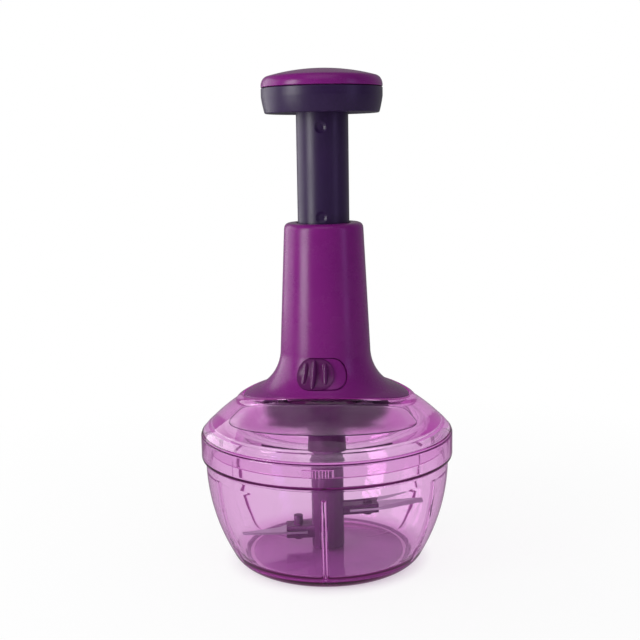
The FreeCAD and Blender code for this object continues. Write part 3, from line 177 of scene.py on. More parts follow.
TINT = (0.70, 0.0, 0.64, 1)
CLEAR = (0.97, 0.93, 0.97, 1)
# Colour of the thin lines of painted shade at the clear plastic's edges.
EDGE_PAINTED_SHADE = (0.10, 0.01, 0.11, 1)
# Emitted colours of painted glow, standing in for light caught inside the clear plastic.
PALE_PAINTED_GLOW = (0.85, 0.62, 0.85, 1)
MIDDLE_PAINTED_GLOW = (0.5, 0.28, 0.5, 1)
DEEP_PAINTED_GLOW = (0.16, 0.03, 0.16, 1)
SHADE_TINT = (0.93, 0.86, 0.93, 1)
PLASTIC_IOR = 1.49
EDGE_SPREAD = 1.6
HEEL_PAINTED_GLOW_TOP = 1.6 * MM
TRAPPED_DEPTH = 2.5


def moulded_plastic(name, colour, deep, roughness, grain=0.35 * MM, texture=0.004 * MM,
                    specular=0.5):
    """Satin moulded plastic: faint flow marks in the colour, a fine grain, handled patches."""
    shader = Shader(name)
    flow = shader.noise(30 * MM, 3.0)
    tone = shader.ramp(flow, [(0.35, 0.0), (0.7, 1.0)])
    handled = shader.ramp(shader.noise(12 * MM, 4.0), [(0.4, 0.0), (0.75, 1.0)])
    fine = shader.noise(grain, 1.0)
    surface = shader.principled({
        "Base Color": shader.blend(tone, colour, deep),
        "Roughness": roughness + handled * 0.06 + (fine - 0.5) * 0.08,
        "Specular IOR Level": specular,
        "Normal": shader.bump(fine, texture),
    })
    return shader.finish(surface)


def clear_plastic(name, tint, density, roughness, glow, texture=0.0, grain=1.0 * MM, edges=()):
    """Clear tinted plastic. The tint is in its depth, and light caught inside ends in a painted
    glow: an emission, brighter in the heel, that stands in for that light.

    Edges are the (height, half width, least radius) of thin dark lines of painted shade at
    moulded edges.
    """
    shader = Shader(name)
    height = shader.node("ShaderNodeSeparateXYZ", {}, {0: shader.place()}, output=2)
    flat = shader.node("ShaderNodeVectorMath", {"operation": "MULTIPLY"},
                       {0: shader.place(), 1: (1, 1, 0)})
    radius = shader.node("ShaderNodeVectorMath", {"operation": "LENGTH"}, {0: flat}, output=1)
    # Painted shade: the base colour darkens in thin bands at the given heights, outside a least
    # radius.
    dark = 0.0
    for level, half, least in edges:
        away = height.sum("ABSOLUTE", height - level * MM)
        outside = radius.sum("GREATER_THAN", radius, least * MM)
        dark = (EDGE_SPREAD - away / (half * MM)).limited() * outside + dark
    waves = shader.noise(9 * MM, 1.0)
    normal = shader.bump(waves, 0.02 * MM)
    if texture:
        normal = shader.bump(shader.noise(grain, 2.0), texture, normal=normal)
    glass = shader.principled({
        "Base Color": shader.blend(dark, CLEAR, EDGE_PAINTED_SHADE) if edges else CLEAR,
        "Roughness": roughness,
        "IOR": PLASTIC_IOR,
        "Transmission Weight": 1.0,
        "Normal": normal,
    })
    open_way = shader.node("ShaderNodeBsdfTransparent", {}, {"Color": SHADE_TINT})
    # Painted glow: rays caught after a few reflections end in an emission, in the given colour
    # low in the heel and deep purple above it.
    in_heel = height.sum("LESS_THAN", height, HEEL_PAINTED_GLOW_TOP)
    caught = shader.mixed(in_heel, shader.node("ShaderNodeEmission", {}, {"Color": glow}),
                          shader.node("ShaderNodeEmission", {}, {"Color": DEEP_PAINTED_GLOW}))
    trapped = height.sum("GREATER_THAN", shader.ray("Glossy Depth"), TRAPPED_DEPTH)
    surface = shader.mixed(shader.ray("Is Shadow Ray"), shader.mixed(trapped, glass, caught),
                           open_way)
    volume = shader.node("ShaderNodeVolumeAbsorption", {}, {"Color": tint, "Density": density})
    return shader.finish(surface, volume)


def metal(name, colour, roughness, lines=(1.0, 1.0, 1.0)):
    """Metal with fine lines along one direction, and duller patches."""
    shader = Shader(name)
    brushed = shader.noise(0.25 * MM, 2.0, shader.stretched(lines))
    patches = shader.ramp(shader.noise(6 * MM, 3.0), [(0.35, 0.0), (0.8, 1.0)])
    surface = shader.principled({
        "Base Color": colour,
        "Metallic": 1.0,
        "Roughness": roughness + patches * 0.1 + (brushed - 0.5) * 0.12,
        "Normal": shader.bump(brushed, 0.002 * MM),
    })
    return shader.finish(surface)


SEAL = clear_plastic("seal_silicone", (0.7, 0.3, 0.7, 1), 150.0, 0.35, PALE_PAINTED_GLOW)
PURPLE = moulded_plastic("purple_satin_plastic", (0.165, 0.009, 0.15, 1),
                         (0.15, 0.007, 0.14, 1), 0.25, specular=0.3)
# The switch button is a darker purple than the handle: painted shade for its dished face and the
# gaps between its fins.
SWITCH_PAINTED_SHADE = moulded_plastic("purple_switch_plastic_painted_shade", (0.09, 0.007, 0.082, 1),
                         (0.08, 0.006, 0.075, 1), 0.25, specular=0.4)
HUB = moulded_plastic("purple_hub_plastic", (0.10, 0.012, 0.10, 1), (0.085, 0.01, 0.09, 1), 0.4)
DARK = moulded_plastic("dark_plate_plastic", (0.05, 0.008, 0.06, 1), (0.04, 0.007, 0.05, 1), 0.6,
                       specular=0.2)
AUBERGINE = moulded_plastic("aubergine_soft_touch", (0.026, 0.010, 0.050, 1),
                            (0.021, 0.008, 0.044, 1), 0.34, grain=0.2 * MM, specular=0.35)
ACETAL = moulded_plastic("white_acetal", (0.75, 0.73, 0.68, 1), (0.70, 0.68, 0.63, 1), 0.35)
RUBBER = moulded_plastic("grip_rubber", (0.62, 0.42, 0.66, 1), (0.57, 0.38, 0.61, 1), 0.7,
                         texture=0.02 * MM)
STEEL = metal("zinc_plated_steel", (0.62, 0.62, 0.63, 1), 0.28)
SPRING_STEEL = metal("spring_steel", (0.45, 0.45, 0.46, 1), 0.3)
BLADE_STEEL = metal("ground_blade_steel", (0.50, 0.47, 0.52, 1), 0.32, (1.0, 12.0, 1.0))
BRONZE = metal("sintered_bronze", (0.55, 0.33, 0.14, 1), 0.42)


# Mesh helpers -------------------------------------------------------------------------------

ARC_STEP = 0.6
CORNER_STEPS = 5


def arc(start, end, bulge):
    """Points between two ends on an arc. A positive radius bulges to the right of the walk."""
    chord = end - start
    radius = abs(bulge)
    rise = math.sqrt(max(radius * radius - chord.length_squared / 4, 0.0))
    left = Vector((-chord.y, chord.x)).normalized()
    centre = (start + end) / 2 + left * math.copysign(rise, bulge)
    first = math.atan2(*(start - centre).yx)
    sweep = (math.atan2(*(end - centre).yx) - first + math.pi) % (2 * math.pi) - math.pi
    count = max(int(abs(sweep) * radius / ARC_STEP), 4)
    return [centre + Vector((math.cos(first + sweep * part / count),
                             math.sin(first + sweep * part / count))) * radius
            for part in range(1, count)]


def reach_along(points):
    """How far along an outline each of its points lies."""
    reach = [0.0]
    for before, after in zip(points, points[1:]):
        reach.append(reach[-1] + (after - before).length)
    return reach


def point_at(points, reach, distance):
    """The point at a distance along an outline."""
    index = min(max(bisect.bisect_right(reach, distance) - 1, 0), len(points) - 2)
    share = (distance - reach[index]) / (reach[index + 1] - reach[index])
    return points[index].lerp(points[index + 1], share)


def outline(corners):
    """Points of an open outline, from corners (radius, height, softness, arc) in millimetres.

    Softness is how far a corner is cut back each way and rounded; the arc leads to the next
    corner.
    """
    points, soft = [], {}
    for number, corner in enumerate(corners):
        here = Vector(corner[:2])
        if len(corner) > 2 and corner[2]:
            soft[len(points)] = corner[2]
        points.append(here)
        if len(corner) > 3 and number + 1 < len(corners):
            points += arc(here, Vector(corners[number + 1][:2]), corner[3])
    reach = reach_along(points)
    made = [(place, point) for place, point in zip(reach, points)
            if not any(abs(place - reach[mark]) <= cut + 1e-6 for mark, cut in soft.items())]
    for mark, cut in soft.items():
        before = point_at(points, reach, reach[mark] - cut)
        after = point_at(points, reach, reach[mark] + cut)
        for t in steps(0, 1, CORNER_STEPS):
            bend = before.lerp(points[mark], t).lerp(points[mark].lerp(after, t), t)
            made.append((reach[mark] + cut * (2 * t - 1), bend))
    made.sort(key=lambda item: item[0])
    return [point for _, point in made]


def steps(low, high, count):
    """Evenly spaced values from low to high, both included."""
    return [low + (high - low) * part / count for part in range(count + 1)]


def even_angles(count):
    """Evenly spaced directions about Z, all round."""
    return [2 * math.pi * part / count for part in range(count)]


def denser_angles(count, spots):
    """Even angles all round, with more of them within reach of each (angle, reach, count)."""
    extra = [(centre + offset) % (2 * math.pi)
             for centre, reach, more in spots for offset in steps(-reach, reach, more)]
    found = sorted(set(round(angle, 6) for angle in even_angles(count) + extra))
    kept = found[:1]
    for angle in found[1:]:
        if angle - kept[-1] > 2e-4:
            kept.append(angle)
    return kept


def piece(name, body, material, mesh, stands_for=()):
    """Makes an object of a mesh, rides it on a body and hides the solids it stands for."""
    made = bpy.data.objects.new(name, mesh)
    bpy.context.scene.collection.objects.link(made)
    mesh.materials.clear()
    mesh.materials.append(material)
    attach(made, body)
    if stands_for:
        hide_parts(*stands_for)
    return made


def mesh_of(build, name, crease=32):
    """A mesh from a bmesh, outward, smooth but for edges sharper than the crease angle."""
    bmesh.ops.remove_doubles(build, verts=build.verts, dist=1e-8)
    bmesh.ops.recalc_face_normals(build, faces=build.faces)
    mesh = bpy.data.meshes.new(name)
    build.to_mesh(mesh)
    build.free()
    smooth(mesh, crease)
    return mesh


def smooth(mesh, crease):
    """Shades a mesh smooth but for edges sharper than an angle in degrees."""
    for face in mesh.polygons:
        face.use_smooth = True
    mesh.set_sharp_from_angle(angle=math.radians(crease))


def grid(build, rows, round_rows=False):
    """Faces between rows of points in millimetres, each row going round."""
    made = [[build.verts.new(Vector(point) * MM) for point in row] for row in rows]
    across = len(rows[0])
    for number in range(len(rows) if round_rows else len(rows) - 1):
        below, above = made[number], made[(number + 1) % len(rows)]
        for index in range(across):
            after = (index + 1) % across
            build.faces.new([below[index], below[after], above[after], above[index]])
    return made


def capped_grid(build, rows):
    """A grid with a face over its first row and its last, which closes the form."""
    made = grid(build, rows)
    build.faces.new(made[0])
    build.faces.new(made[-1])


def turned_point(radius, angle, height):
    """A point from its distance from the axis, its direction and its height."""
    return (radius * math.cos(angle), radius * math.sin(angle), height)


def lathe(name, profile, angles=None, ring=False, shift=None, crease=32):
    """A mesh turned about Z. The shift gives how far a point moves inwards, in millimetres."""
    angles = angles or even_angles(192)
    build = bmesh.new()
    rows = []
    for number, point in enumerate(profile):
        depths = [shift(number, point, angle) if shift else 0.0 for angle in angles]
        rows.append([turned_point(point.x - depth, angle, point.y)
                     for angle, depth in zip(angles, depths)])
    grid(build, rows, ring)
    bmesh.ops.remove_doubles(build, verts=build.verts, dist=1e-7)
    return mesh_of(build, name, crease)


def apart(first, second):
    """The angle between two directions about Z, never over half a turn."""
    return abs((first - second + math.pi) % (2 * math.pi) - math.pi)


# Shared measures, in millimetres, from the frame --------------------------------------------

def low_and_high(node):
    """The two corners of a node's box, in millimetres."""
    low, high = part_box(node)
    return low / MM, high / MM


bowl_high = low_and_high("bowl")[1]
handle_high = low_and_high("handle_body")[1]
stem_low, stem_high = low_and_high("plunger_stem")
grip_low, grip_high = low_and_high("knob_grip")
cap_high = low_and_high("knob_cap")[1]
foot_high = low_and_high("foot_pad")[1]

RIM = bowl_high.x
RIM_TOP = bowl_high.z
DOME = 82.0
DOME_WALL = 2.2
LID_EDGE = RIM - 1.0
LID_GAP = 0.3
LID_EDGE_TOP = RIM_TOP + LID_GAP + 1.0
DOME_CENTRE = LID_EDGE_TOP - math.sqrt(DOME * DOME - LID_EDGE * LID_EDGE)
DOME_INSIDE = DOME - DOME_WALL
RECESS_SPHERE = DOME - 1.1
BAND_HEIGHT = 12.9


def on_sphere(radius, distance):
    """Height of a sphere about the dome's centre, at a distance from the axis."""
    return DOME_CENTRE + math.sqrt(radius * radius - distance * distance)


# The bowl's thin dark lines are painted shade: at the band's corner and foot, along the rim top,
# and round the underside outside the foot pad.
CLEAR_BOWL = clear_plastic("clear_bowl_plastic", TINT, 130.0, 0.02, MIDDLE_PAINTED_GLOW, edges=(
    (RIM_TOP - BAND_HEIGHT + 1.8, 0.25, RIM - 1.6), (RIM_TOP - BAND_HEIGHT, 0.12, RIM - 2.6),
    (RIM_TOP, 0.2, RIM - 3.0), (0.3, 0.5, 40.0)))
CLEAR_LID = clear_plastic("clear_lid_plastic", TINT, 100.0, 0.02, PALE_PAINTED_GLOW)
FROSTED = clear_plastic("frosted_lid_plastic", TINT, 900.0, 0.21, DEEP_PAINTED_GLOW, 0.008 * MM,
                        0.4 * MM)


# Bowl ---------------------------------------------------------------------------------------

FLOOR = 4.6
FLOOR_EDGE = 40.5
FOOT = foot_high.x
FOOT_EDGE = 42.0
UNDERSIDE = 0.3
PAD_SQUEEZE = 0.02
PAD_TOP_GAP = 0.12
HEEL_TOP = (48.3, 6.2)
HEEL_CURVE = 11.0
SIDE_CURVE = 94.5
INNER_HEEL_TOP = (47.3, 9.0)
INNER_HEEL_CURVE = 9.0
INNER_SIDE_CURVE = 92.3
PIN_BOSS = 5.2
PIN_HOLE = 3.0
PIN_HOLE_FLOOR = 2.6
PIN_BOSS_TOP = 8.6
SIDE_TOP = RIM - 2.1
SIDE_INSIDE = SIDE_TOP - 2.2
BAND_BOTTOM = RIM_TOP - BAND_HEIGHT
BAND_CORNER = BAND_BOTTOM + 1.8
RIM_INSIDE = RIM - 2.8
LEDGE_LOW = RIM_TOP - 2.9
LEDGE_HIGH = LEDGE_LOW + 1.2
LEDGE_DEPTH = 1.3
LEDGE_HALF = math.radians(33)
STOP_LOW = BAND_CORNER + 0.6
STOP_HIGH = LEDGE_LOW - 0.6
STOP_HALF = 0.22 / RIM_INSIDE
STOP_DEPTH = 0.3
INNER_BEND = BAND_CORNER + 0.4
# Steps in the wall are this steep: a hair high, or an edge turn wide.
HAIR = 0.04
EDGE_TURN = 0.0006
RIB_TOP = BAND_BOTTOM - 4.4
RIB_HALF = 1.15
RIB_DEPTH = 1.5
RIB_END = 1.2
RIB_LEAN = 0.12
RIB_FOOT = 38.0
RIB_FOOT_FADE = 6.0
RIBS = [FRONT + math.radians(2.5 + 60 * number) for number in range(6)]
LEDGES = [math.radians(45 + 90 * number) for number in range(4)]
STOPS = [FRONT + math.radians(48.5 + 90 * number) for number in range(4)]


def rib_depth(point, angle):
    """How far the ribs stand in from the wall at a point."""
    if point.y > RIB_TOP or point.y < FLOOR:
        return 0.0
    nearest = min(apart(angle, rib) for rib in RIBS) * point.x
    if nearest >= RIB_HALF:
        return 0.0
    across = math.sqrt(1 - (nearest / RIB_HALF) ** 2)
    end = min((RIB_TOP - point.y) / RIB_END, 1.0)
    foot = min(max((point.x - RIB_FOOT) / RIB_FOOT_FADE, 0.0), 1.0)
    return RIB_DEPTH * across * math.sqrt(1 - (1 - end) ** 2) * foot


def make_bowl():
    """Bowl: rounded heel, rim band, six ribs inside, bayonet ledges with their stops."""
    recess = FOOT - PAD_SQUEEZE
    recess_top = foot_high.z + PAD_TOP_GAP
    outer = outline([
        (0, recess_top),
        (recess, recess_top, 0.3),
        (recess, UNDERSIDE, 0.3),
        (FOOT_EDGE, UNDERSIDE, 0, HEEL_CURVE),
        (*HEEL_TOP, 0, SIDE_CURVE),
        (SIDE_TOP, BAND_BOTTOM, 0.4, 2.4),
        (RIM, BAND_CORNER, 0.4),
        (RIM, RIM_TOP, 0.6),
        (RIM_INSIDE, RIM_TOP, 0.5),
        (RIM_INSIDE, RIM_TOP - 0.8),
    ])
    rib_side = SIDE_INSIDE - 0.1
    wall = outline([
        (RIM_INSIDE, LEDGE_HIGH + HAIR),
        (RIM_INSIDE, LEDGE_HIGH),
        (RIM_INSIDE, LEDGE_LOW),
        (RIM_INSIDE, LEDGE_LOW - HAIR),
        (RIM_INSIDE, STOP_HIGH + HAIR),
        (RIM_INSIDE, STOP_HIGH),
        (RIM_INSIDE, INNER_BEND, 0.5),
        (SIDE_INSIDE, BAND_BOTTOM, 0.5),
        (rib_side, RIB_TOP + 0.02),
    ])
    ends = [Vector((rib_side - RIB_LEAN * drop, RIB_TOP - drop))
            for drop in (0.0, 0.05, 0.15, 0.35, 0.7)]
    lower = outline([
        (rib_side - RIB_LEAN * RIB_END, RIB_TOP - RIB_END, 0, -INNER_SIDE_CURVE),
        (*INNER_HEEL_TOP, 0, -INNER_HEEL_CURVE),
        (FLOOR_EDGE, FLOOR),
        (PIN_BOSS, FLOOR, 0.4),
        (PIN_BOSS, PIN_BOSS_TOP, 0.3),
        (PIN_HOLE, PIN_BOSS_TOP),
        (PIN_HOLE, PIN_HOLE_FLOOR),
        (0, PIN_HOLE_FLOOR),
    ])
    profile = outer + wall + ends + lower
    inner_start = len(outer)

    def inwards(number, point, angle):
        if number < inner_start:
            return 0.0
        depth = rib_depth(point, angle)
        on_ledge = LEDGE_LOW - 1e-6 <= point.y <= LEDGE_HIGH + 1e-6
        if on_ledge and min(apart(angle, ledge) for ledge in LEDGES) < LEDGE_HALF:
            depth = LEDGE_DEPTH
        if STOP_LOW <= point.y <= STOP_HIGH + 1e-6:
            if min(apart(angle, stop) for stop in STOPS) < STOP_HALF:
                depth = STOP_DEPTH
        return depth

    spots = [(rib, RIB_HALF / 50, 18) for rib in RIBS]
    spots += [(centre + side * half, EDGE_TURN, 2)
              for centres, half in ((STOPS, STOP_HALF), (LEDGES, LEDGE_HALF))
              for centre in centres for side in (-1, 1)]
    mesh = lathe("bowl_mesh", profile, denser_angles(144, spots), shift=inwards, crease=28)
    piece("clear_bowl", "base", CLEAR_BOWL, mesh, ["bowl"])


# Lid ----------------------------------------------------------------------------------------

HOLE = 26.5
LAND = 33.0
LAND_BOTTOM = on_sphere(DOME_INSIDE, LAND) - 1.4
PLUG_OUTSIDE = RIM_INSIDE - LEDGE_DEPTH - 0.4
PLUG_INSIDE = PLUG_OUTSIDE - 1.8
LUG_TOP = LEDGE_LOW - 0.4
LUG_BOTTOM = LUG_TOP - 3.9
LUG_HALF = math.radians(7)
LUG_FINS = 5
LUGS = [math.radians(90 * number) for number in range(4)]
GROOVE_DEPTH = 0.25
CREASE = LID_EDGE - 4.4
SHOULDER_INSIDE = on_sphere(DOME, CREASE) - 2.4
LIP_INSIDE = RIM - 2.2
RECESS = (handle_high.x + 0.4, handle_high.y + 0.4)
COLLAR = 3.7
COLLAR_RISE = 0.85
COLLAR_DIP = 0.3


def lug_depth(angle):
    """How far the bayonet lugs stand out of the plug, with grooves between their fins."""
    if min(apart(angle, lug) for lug in LUGS) > LUG_HALF:
        return 0.0
    across = ((angle - FRONT) % math.radians(90) + LUG_HALF) % math.radians(90) / (2 * LUG_HALF)
    groove = math.cos(across * LUG_FINS * 2 * math.pi) > 0.2
    return LEDGE_DEPTH - (GROOVE_DEPTH if groove else 0.0)


def make_lid():
    """Lid: plug with finned lugs, rounded shoulder, dome, oval collar round the handle."""
    step = on_sphere(DOME, CREASE)
    lower = outline([
        (HOLE, LAND_BOTTOM),
        (LAND, LAND_BOTTOM, 0.3),
        (LAND, on_sphere(DOME_INSIDE, LAND), 0.3, DOME_INSIDE),
        (PLUG_INSIDE, on_sphere(DOME_INSIDE, PLUG_INSIDE), 0.8),
        (PLUG_INSIDE, LUG_BOTTOM, 0.3),
        (PLUG_OUTSIDE, LUG_BOTTOM, 0.3),
        (PLUG_OUTSIDE, LUG_BOTTOM + 0.4),
        (PLUG_OUTSIDE, LUG_TOP),
        (PLUG_OUTSIDE, LUG_TOP + HAIR),
        (PLUG_OUTSIDE, SHOULDER_INSIDE),
        (LIP_INSIDE, RIM_TOP + LID_GAP, 0.2),
        (RIM - 0.4, RIM_TOP + LID_GAP, 0.2),
        (RIM - 0.4, LID_EDGE_TOP - 0.5, 0.2),
        (LID_EDGE, LID_EDGE_TOP, 0.4, 20.5),
        (CREASE + 0.6, step - 0.6, 0.25),
        (CREASE, step),
    ])
    angles = denser_angles(216, [(lug, LUG_HALF + 0.002, 50) for lug in LUGS])
    rows = []
    for point in lower:
        beside_lugs = LUG_BOTTOM + 0.3 < point.y <= LUG_TOP + 1e-6
        on_lug = beside_lugs and abs(point.x - PLUG_OUTSIDE) < 0.1
        rows.append([turned_point(point.x + (lug_depth(angle) if on_lug else 0.0), angle, point.y)
                     for angle in angles])

    def oval_row(halves, sphere):
        row = []
        for angle in angles:
            x, y = halves[0] * math.cos(angle), halves[1] * math.sin(angle)
            row.append((x, y, on_sphere(sphere, math.hypot(x, y))))
        return row

    def between(first, second, share):
        return [one + (other - one) * share for one, other in zip(first, second)]

    outer = (RECESS[0] + COLLAR, RECESS[1] + COLLAR)
    for share in steps(0, 1, 14)[1:]:
        rows.append(oval_row(between((CREASE, CREASE), outer, share), DOME))
    for share in steps(0, 1, 8)[1:]:
        rise = COLLAR_RISE * math.sin(math.pi / 2 * min(share * 2.4, 1.0))
        dip = COLLAR_DIP * max(share - 0.8, 0) / 0.2
        inset = [half - COLLAR * share for half in outer]
        rows.append(oval_row(inset, DOME + (rise - dip)))
    edge = (RECESS[0] - 0.05, RECESS[1] - 0.05)
    for share in steps(0, 1, 6):
        rows.append(oval_row(between(edge, (HOLE, HOLE), share), RECESS_SPHERE))
    build = bmesh.new()
    grid(build, rows, round_rows=True)
    mesh = mesh_of(build, "lid_mesh", 30)
    piece("clear_lid", "lid", CLEAR_LID, mesh, ["lid_dome"])


PANEL_HALF = math.radians(61.5)
PANEL_SQUARENESS = 0.4
PANEL_FROM_COLLAR = 0.4
PANEL_LOW = 51.9
PANEL_DROOP = 2.6
PANEL_TAPER = 0.04
PANEL_RISE = 0.24
PANEL_FLOAT = 0.03


def power(value, exponent):
    """A power that keeps the value's sign."""
    return math.copysign(abs(value) ** exponent, value)


def make_panel(name, facing):
    """Frosted panel on the dome between the collar and the shoulder, with rounded ends."""
    outer = [half + COLLAR + PANEL_FROM_COLLAR for half in RECESS]

    def ring(share, rise):
        row = []
        for turn in even_angles(160):
            across = power(math.cos(turn), PANEL_SQUARENESS) * share
            down = 0.5 - 0.5 * power(math.sin(turn), PANEL_SQUARENESS) * share
            azimuth = PANEL_HALF * across * (1 - PANEL_TAPER * down)
            sx, cy = math.sin(azimuth), math.cos(azimuth)
            high = 1 / math.hypot(sx / outer[0], cy / outer[1])
            low = PANEL_LOW + PANEL_DROOP * across ** 2
            radius = high + (low - high) * down
            x, y = radius * sx, -radius * cy * facing
            row.append((x, y, on_sphere(DOME + rise, math.hypot(x, y))))
        return row

    def closed_ring(part_name, rows, material):
        build = bmesh.new()
        grid(build, rows, round_rows=True)
        piece(part_name, "lid", material, mesh_of(build, part_name + "_mesh", 50))

    rows = [ring(share, PANEL_FLOAT) for share in (0.004, 0.3, 0.6, 0.9, 0.995)]
    rows += [ring(1.0, 0.09), ring(0.996, 0.17), ring(0.985, 0.22)]
    rows += [ring(share, PANEL_RISE) for share in steps(0.96, 0.004, 10)]
    closed_ring(name, rows, FROSTED)
    # A thin dark ring round the panel is painted shade, standing in for the dark line at its
    # outline.
    edge = [ring(0.999, 0.20), ring(0.999, 0.02), ring(1.005, 0.02), ring(1.005, 0.20)]
    closed_ring(name + "_edge", edge, DARK)


SKIRT_RADIUS = 32.4
SKIRT_DEPTH = 12.0
SKIRT_SLOPE = 0.8
SKIRT_FLOOR = 0.6
SKIRT_HOLE = 12.0


def make_plate_skirt():
    """Shallow cup under the base plate, open round the drive head."""
    top = on_sphere(DOME_INSIDE, SKIRT_RADIUS) - 1.0
    bottom = top - SKIRT_DEPTH
    profile = outline([
        (SKIRT_RADIUS, top),
        (SKIRT_RADIUS - SKIRT_SLOPE, bottom, 0.6),
        (SKIRT_HOLE, bottom),
        (SKIRT_HOLE, bottom + SKIRT_FLOOR),
        (SKIRT_RADIUS - SKIRT_SLOPE - 1.4, bottom + SKIRT_FLOOR, 0.6),
        (SKIRT_RADIUS - 1.5, top),
    ])
    mesh = lathe("plate_skirt_mesh", profile, ring=True)
    piece("plate_skirt", "lid", DARK, mesh)


# Handle -------------------------------------------------------------------------------------

SKIRT_SPHERE = DOME + 0.3
FLARE_CURVE = 22.0
FLARE_FOOT = 32.6
FLARE_TOP = LAND_BOTTOM + 23.0
COLUMN_FOOT = 22.1
COLUMN_TOP = 19.1
HANDLE_WALL = 2.0
HANDLE_ROOF = 3.2
HANDLE_ROUND = 3.0
FOOT_BORE = 25.6
FOOT_BORE_HIGH = 6.0
LIP_ROUND = 0.5
HANDLE_TOP = handle_high.z
STEM = stem_high.x
MOUTH = STEM + 0.9
SWITCH_HEIGHT = LAND_BOTTOM + 14.8
SWITCH_TALL = 14.5
SWITCH_WIDE = 24.8
BUTTON_WIDE = 17.8
SWITCH_RADIUS = COLUMN_FOOT + 1.6
SWITCH_TURN = (SWITCH_WIDE - BUTTON_WIDE) / 2 / SWITCH_RADIUS
RECESS_DEPTH = 0.4
SLOT_GROOVE_DEPTH = 1.3
CUT_CLEAR = 6.0


def flare_points():
    """Outline of the flare from the column's foot out to past the skirt."""
    past = handle_high.x + 2
    return outline([
        (COLUMN_FOOT, FLARE_TOP, 0, FLARE_CURVE),
        (FLARE_FOOT, on_sphere(SKIRT_SPHERE, FLARE_FOOT), 0, -SKIRT_SPHERE),
        (past, on_sphere(SKIRT_SPHERE, past)),
    ])


FLARE = flare_points()


def along(points, radius):
    """Splits an outline at a radius, and gives the part up to it."""
    for number in range(1, len(points)):
        if points[number].x >= radius:
            before, after = points[number - 1], points[number]
            share = (radius - before.x) / (after.x - before.x)
            return points[:number] + [before.lerp(after, share)]
    return points


def resampled(points, count):
    """The same outline with evenly spaced points."""
    reach = reach_along(points)
    return [point_at(points, reach, distance) for distance in steps(0, reach[-1], count)]


def handle_column(angle):
    """Closed outline of the handle at one angle: the skirt's reach follows its oval edge."""
    edge = 1 / math.hypot(math.cos(angle) / handle_high.x, math.sin(angle) / handle_high.y)
    skin = resampled(along(FLARE, edge - LIP_ROUND), 54)
    lip_centre = Vector((edge - LIP_ROUND, skin[-1].y - 0.25 - LIP_ROUND))
    lip = [lip_centre + LIP_ROUND * Vector((math.sin(turn), math.cos(turn)))
           for turn in steps(math.radians(15), math.radians(90), 4)]
    top = outline([
        (MOUTH, HANDLE_TOP - HANDLE_ROOF),
        (MOUTH, HANDLE_TOP, 0.5),
        (COLUMN_TOP, HANDLE_TOP, HANDLE_ROUND),
        (COLUMN_FOOT, FLARE_TOP),
    ])
    inside = outline([
        (FOOT_BORE, LAND_BOTTOM + 0.2),
        (FOOT_BORE, LAND_BOTTOM + FOOT_BORE_HIGH, 0, -(FLARE_CURVE + HANDLE_WALL)),
        (COLUMN_FOOT - HANDLE_WALL, FLARE_TOP),
        (COLUMN_TOP - HANDLE_WALL, HANDLE_TOP - HANDLE_ROOF),
    ])
    shaft = resampled(top[-2:], 24)[1:-1]
    under = [Vector((radius, on_sphere(RECESS_SPHERE, radius) + 0.2))
             for radius in (edge, FOOT_BORE + 0.6)]
    return top[:-1] + shaft + skin + lip + under + inside


def make_handle():
    """Handle: a tapered column that flares into the oval skirt, with the switch's slot cut in."""
    angles = even_angles(216)
    columns = [handle_column(angle) for angle in angles]
    rows = [[turned_point(point.x, angle, point.y) for angle, point in zip(angles, level)]
            for level in zip(*columns)]
    build = bmesh.new()
    grid(build, rows, round_rows=True)
    mesh = mesh_of(build, "handle_mesh", 180)
    handle = piece("purple_handle", "lid", PURPLE, mesh, ["handle_body"])
    carve(handle, slot_cutter())


def stadium(width, height, count):
    """Points round a round-ended slot, across and up, anticlockwise."""
    half, radius = (width - height) / 2, height / 2
    made = []
    for side in (1, -1):
        for turn in steps(-math.pi / 2, math.pi / 2, count // 4):
            made.append((side * (half + math.cos(turn) * radius), side * math.sin(turn) * radius))
        for across in steps(half, -half, count // 4)[1:-1]:
            made.append((side * across, side * radius))
    return made


def slot_cutter():
    """A shallow round-ended recess in the handle's front, with a groove along its edge."""
    edge = stadium(SWITCH_WIDE, SWITCH_TALL, 96)
    recess = [(share, -RECESS_DEPTH) for share in (0.02, 0.3, 0.6, 0.93)]
    groove = [(share, -SLOT_GROOVE_DEPTH) for share in (0.945, 1.0)]
    clear = [(share, CUT_CLEAR) for share in (1.0, 0.5, 0.02)]
    build = bmesh.new()
    capped_grid(build, [[on_handle(across * share, up * share, rise, 0.0) for across, up in edge]
                        for share, rise in recess + groove + clear])
    cutter = bpy.data.objects.new("slot_cutter", mesh_of(build, "slot_mesh"))
    bpy.context.scene.collection.objects.link(cutter)
    return cutter


def carve(target, cutter):
    """Cuts one closed mesh out of another, and drops the cutter."""
    change = target.modifiers.new("slot", "BOOLEAN")
    change.operation = "DIFFERENCE"
    change.solver = "EXACT"
    change.object = cutter
    bpy.context.view_layer.update()
    evaluated = target.evaluated_get(bpy.context.evaluated_depsgraph_get())
    carved = bpy.data.meshes.new_from_object(evaluated)
    target.modifiers.clear()
    target.data = carved
    bpy.data.objects.remove(cutter)
    smooth(carved, 35)


# Stem and knob ------------------------------------------------------------------------------

DIMPLE = 2.7
DIMPLE_DEPTH = 0.9
DIMPLE_HEIGHTS = (grip_low.z - 5.4, HANDLE_TOP + 3.1)
STEM_WALL = 2.0
STEM_BREAK = 0.5


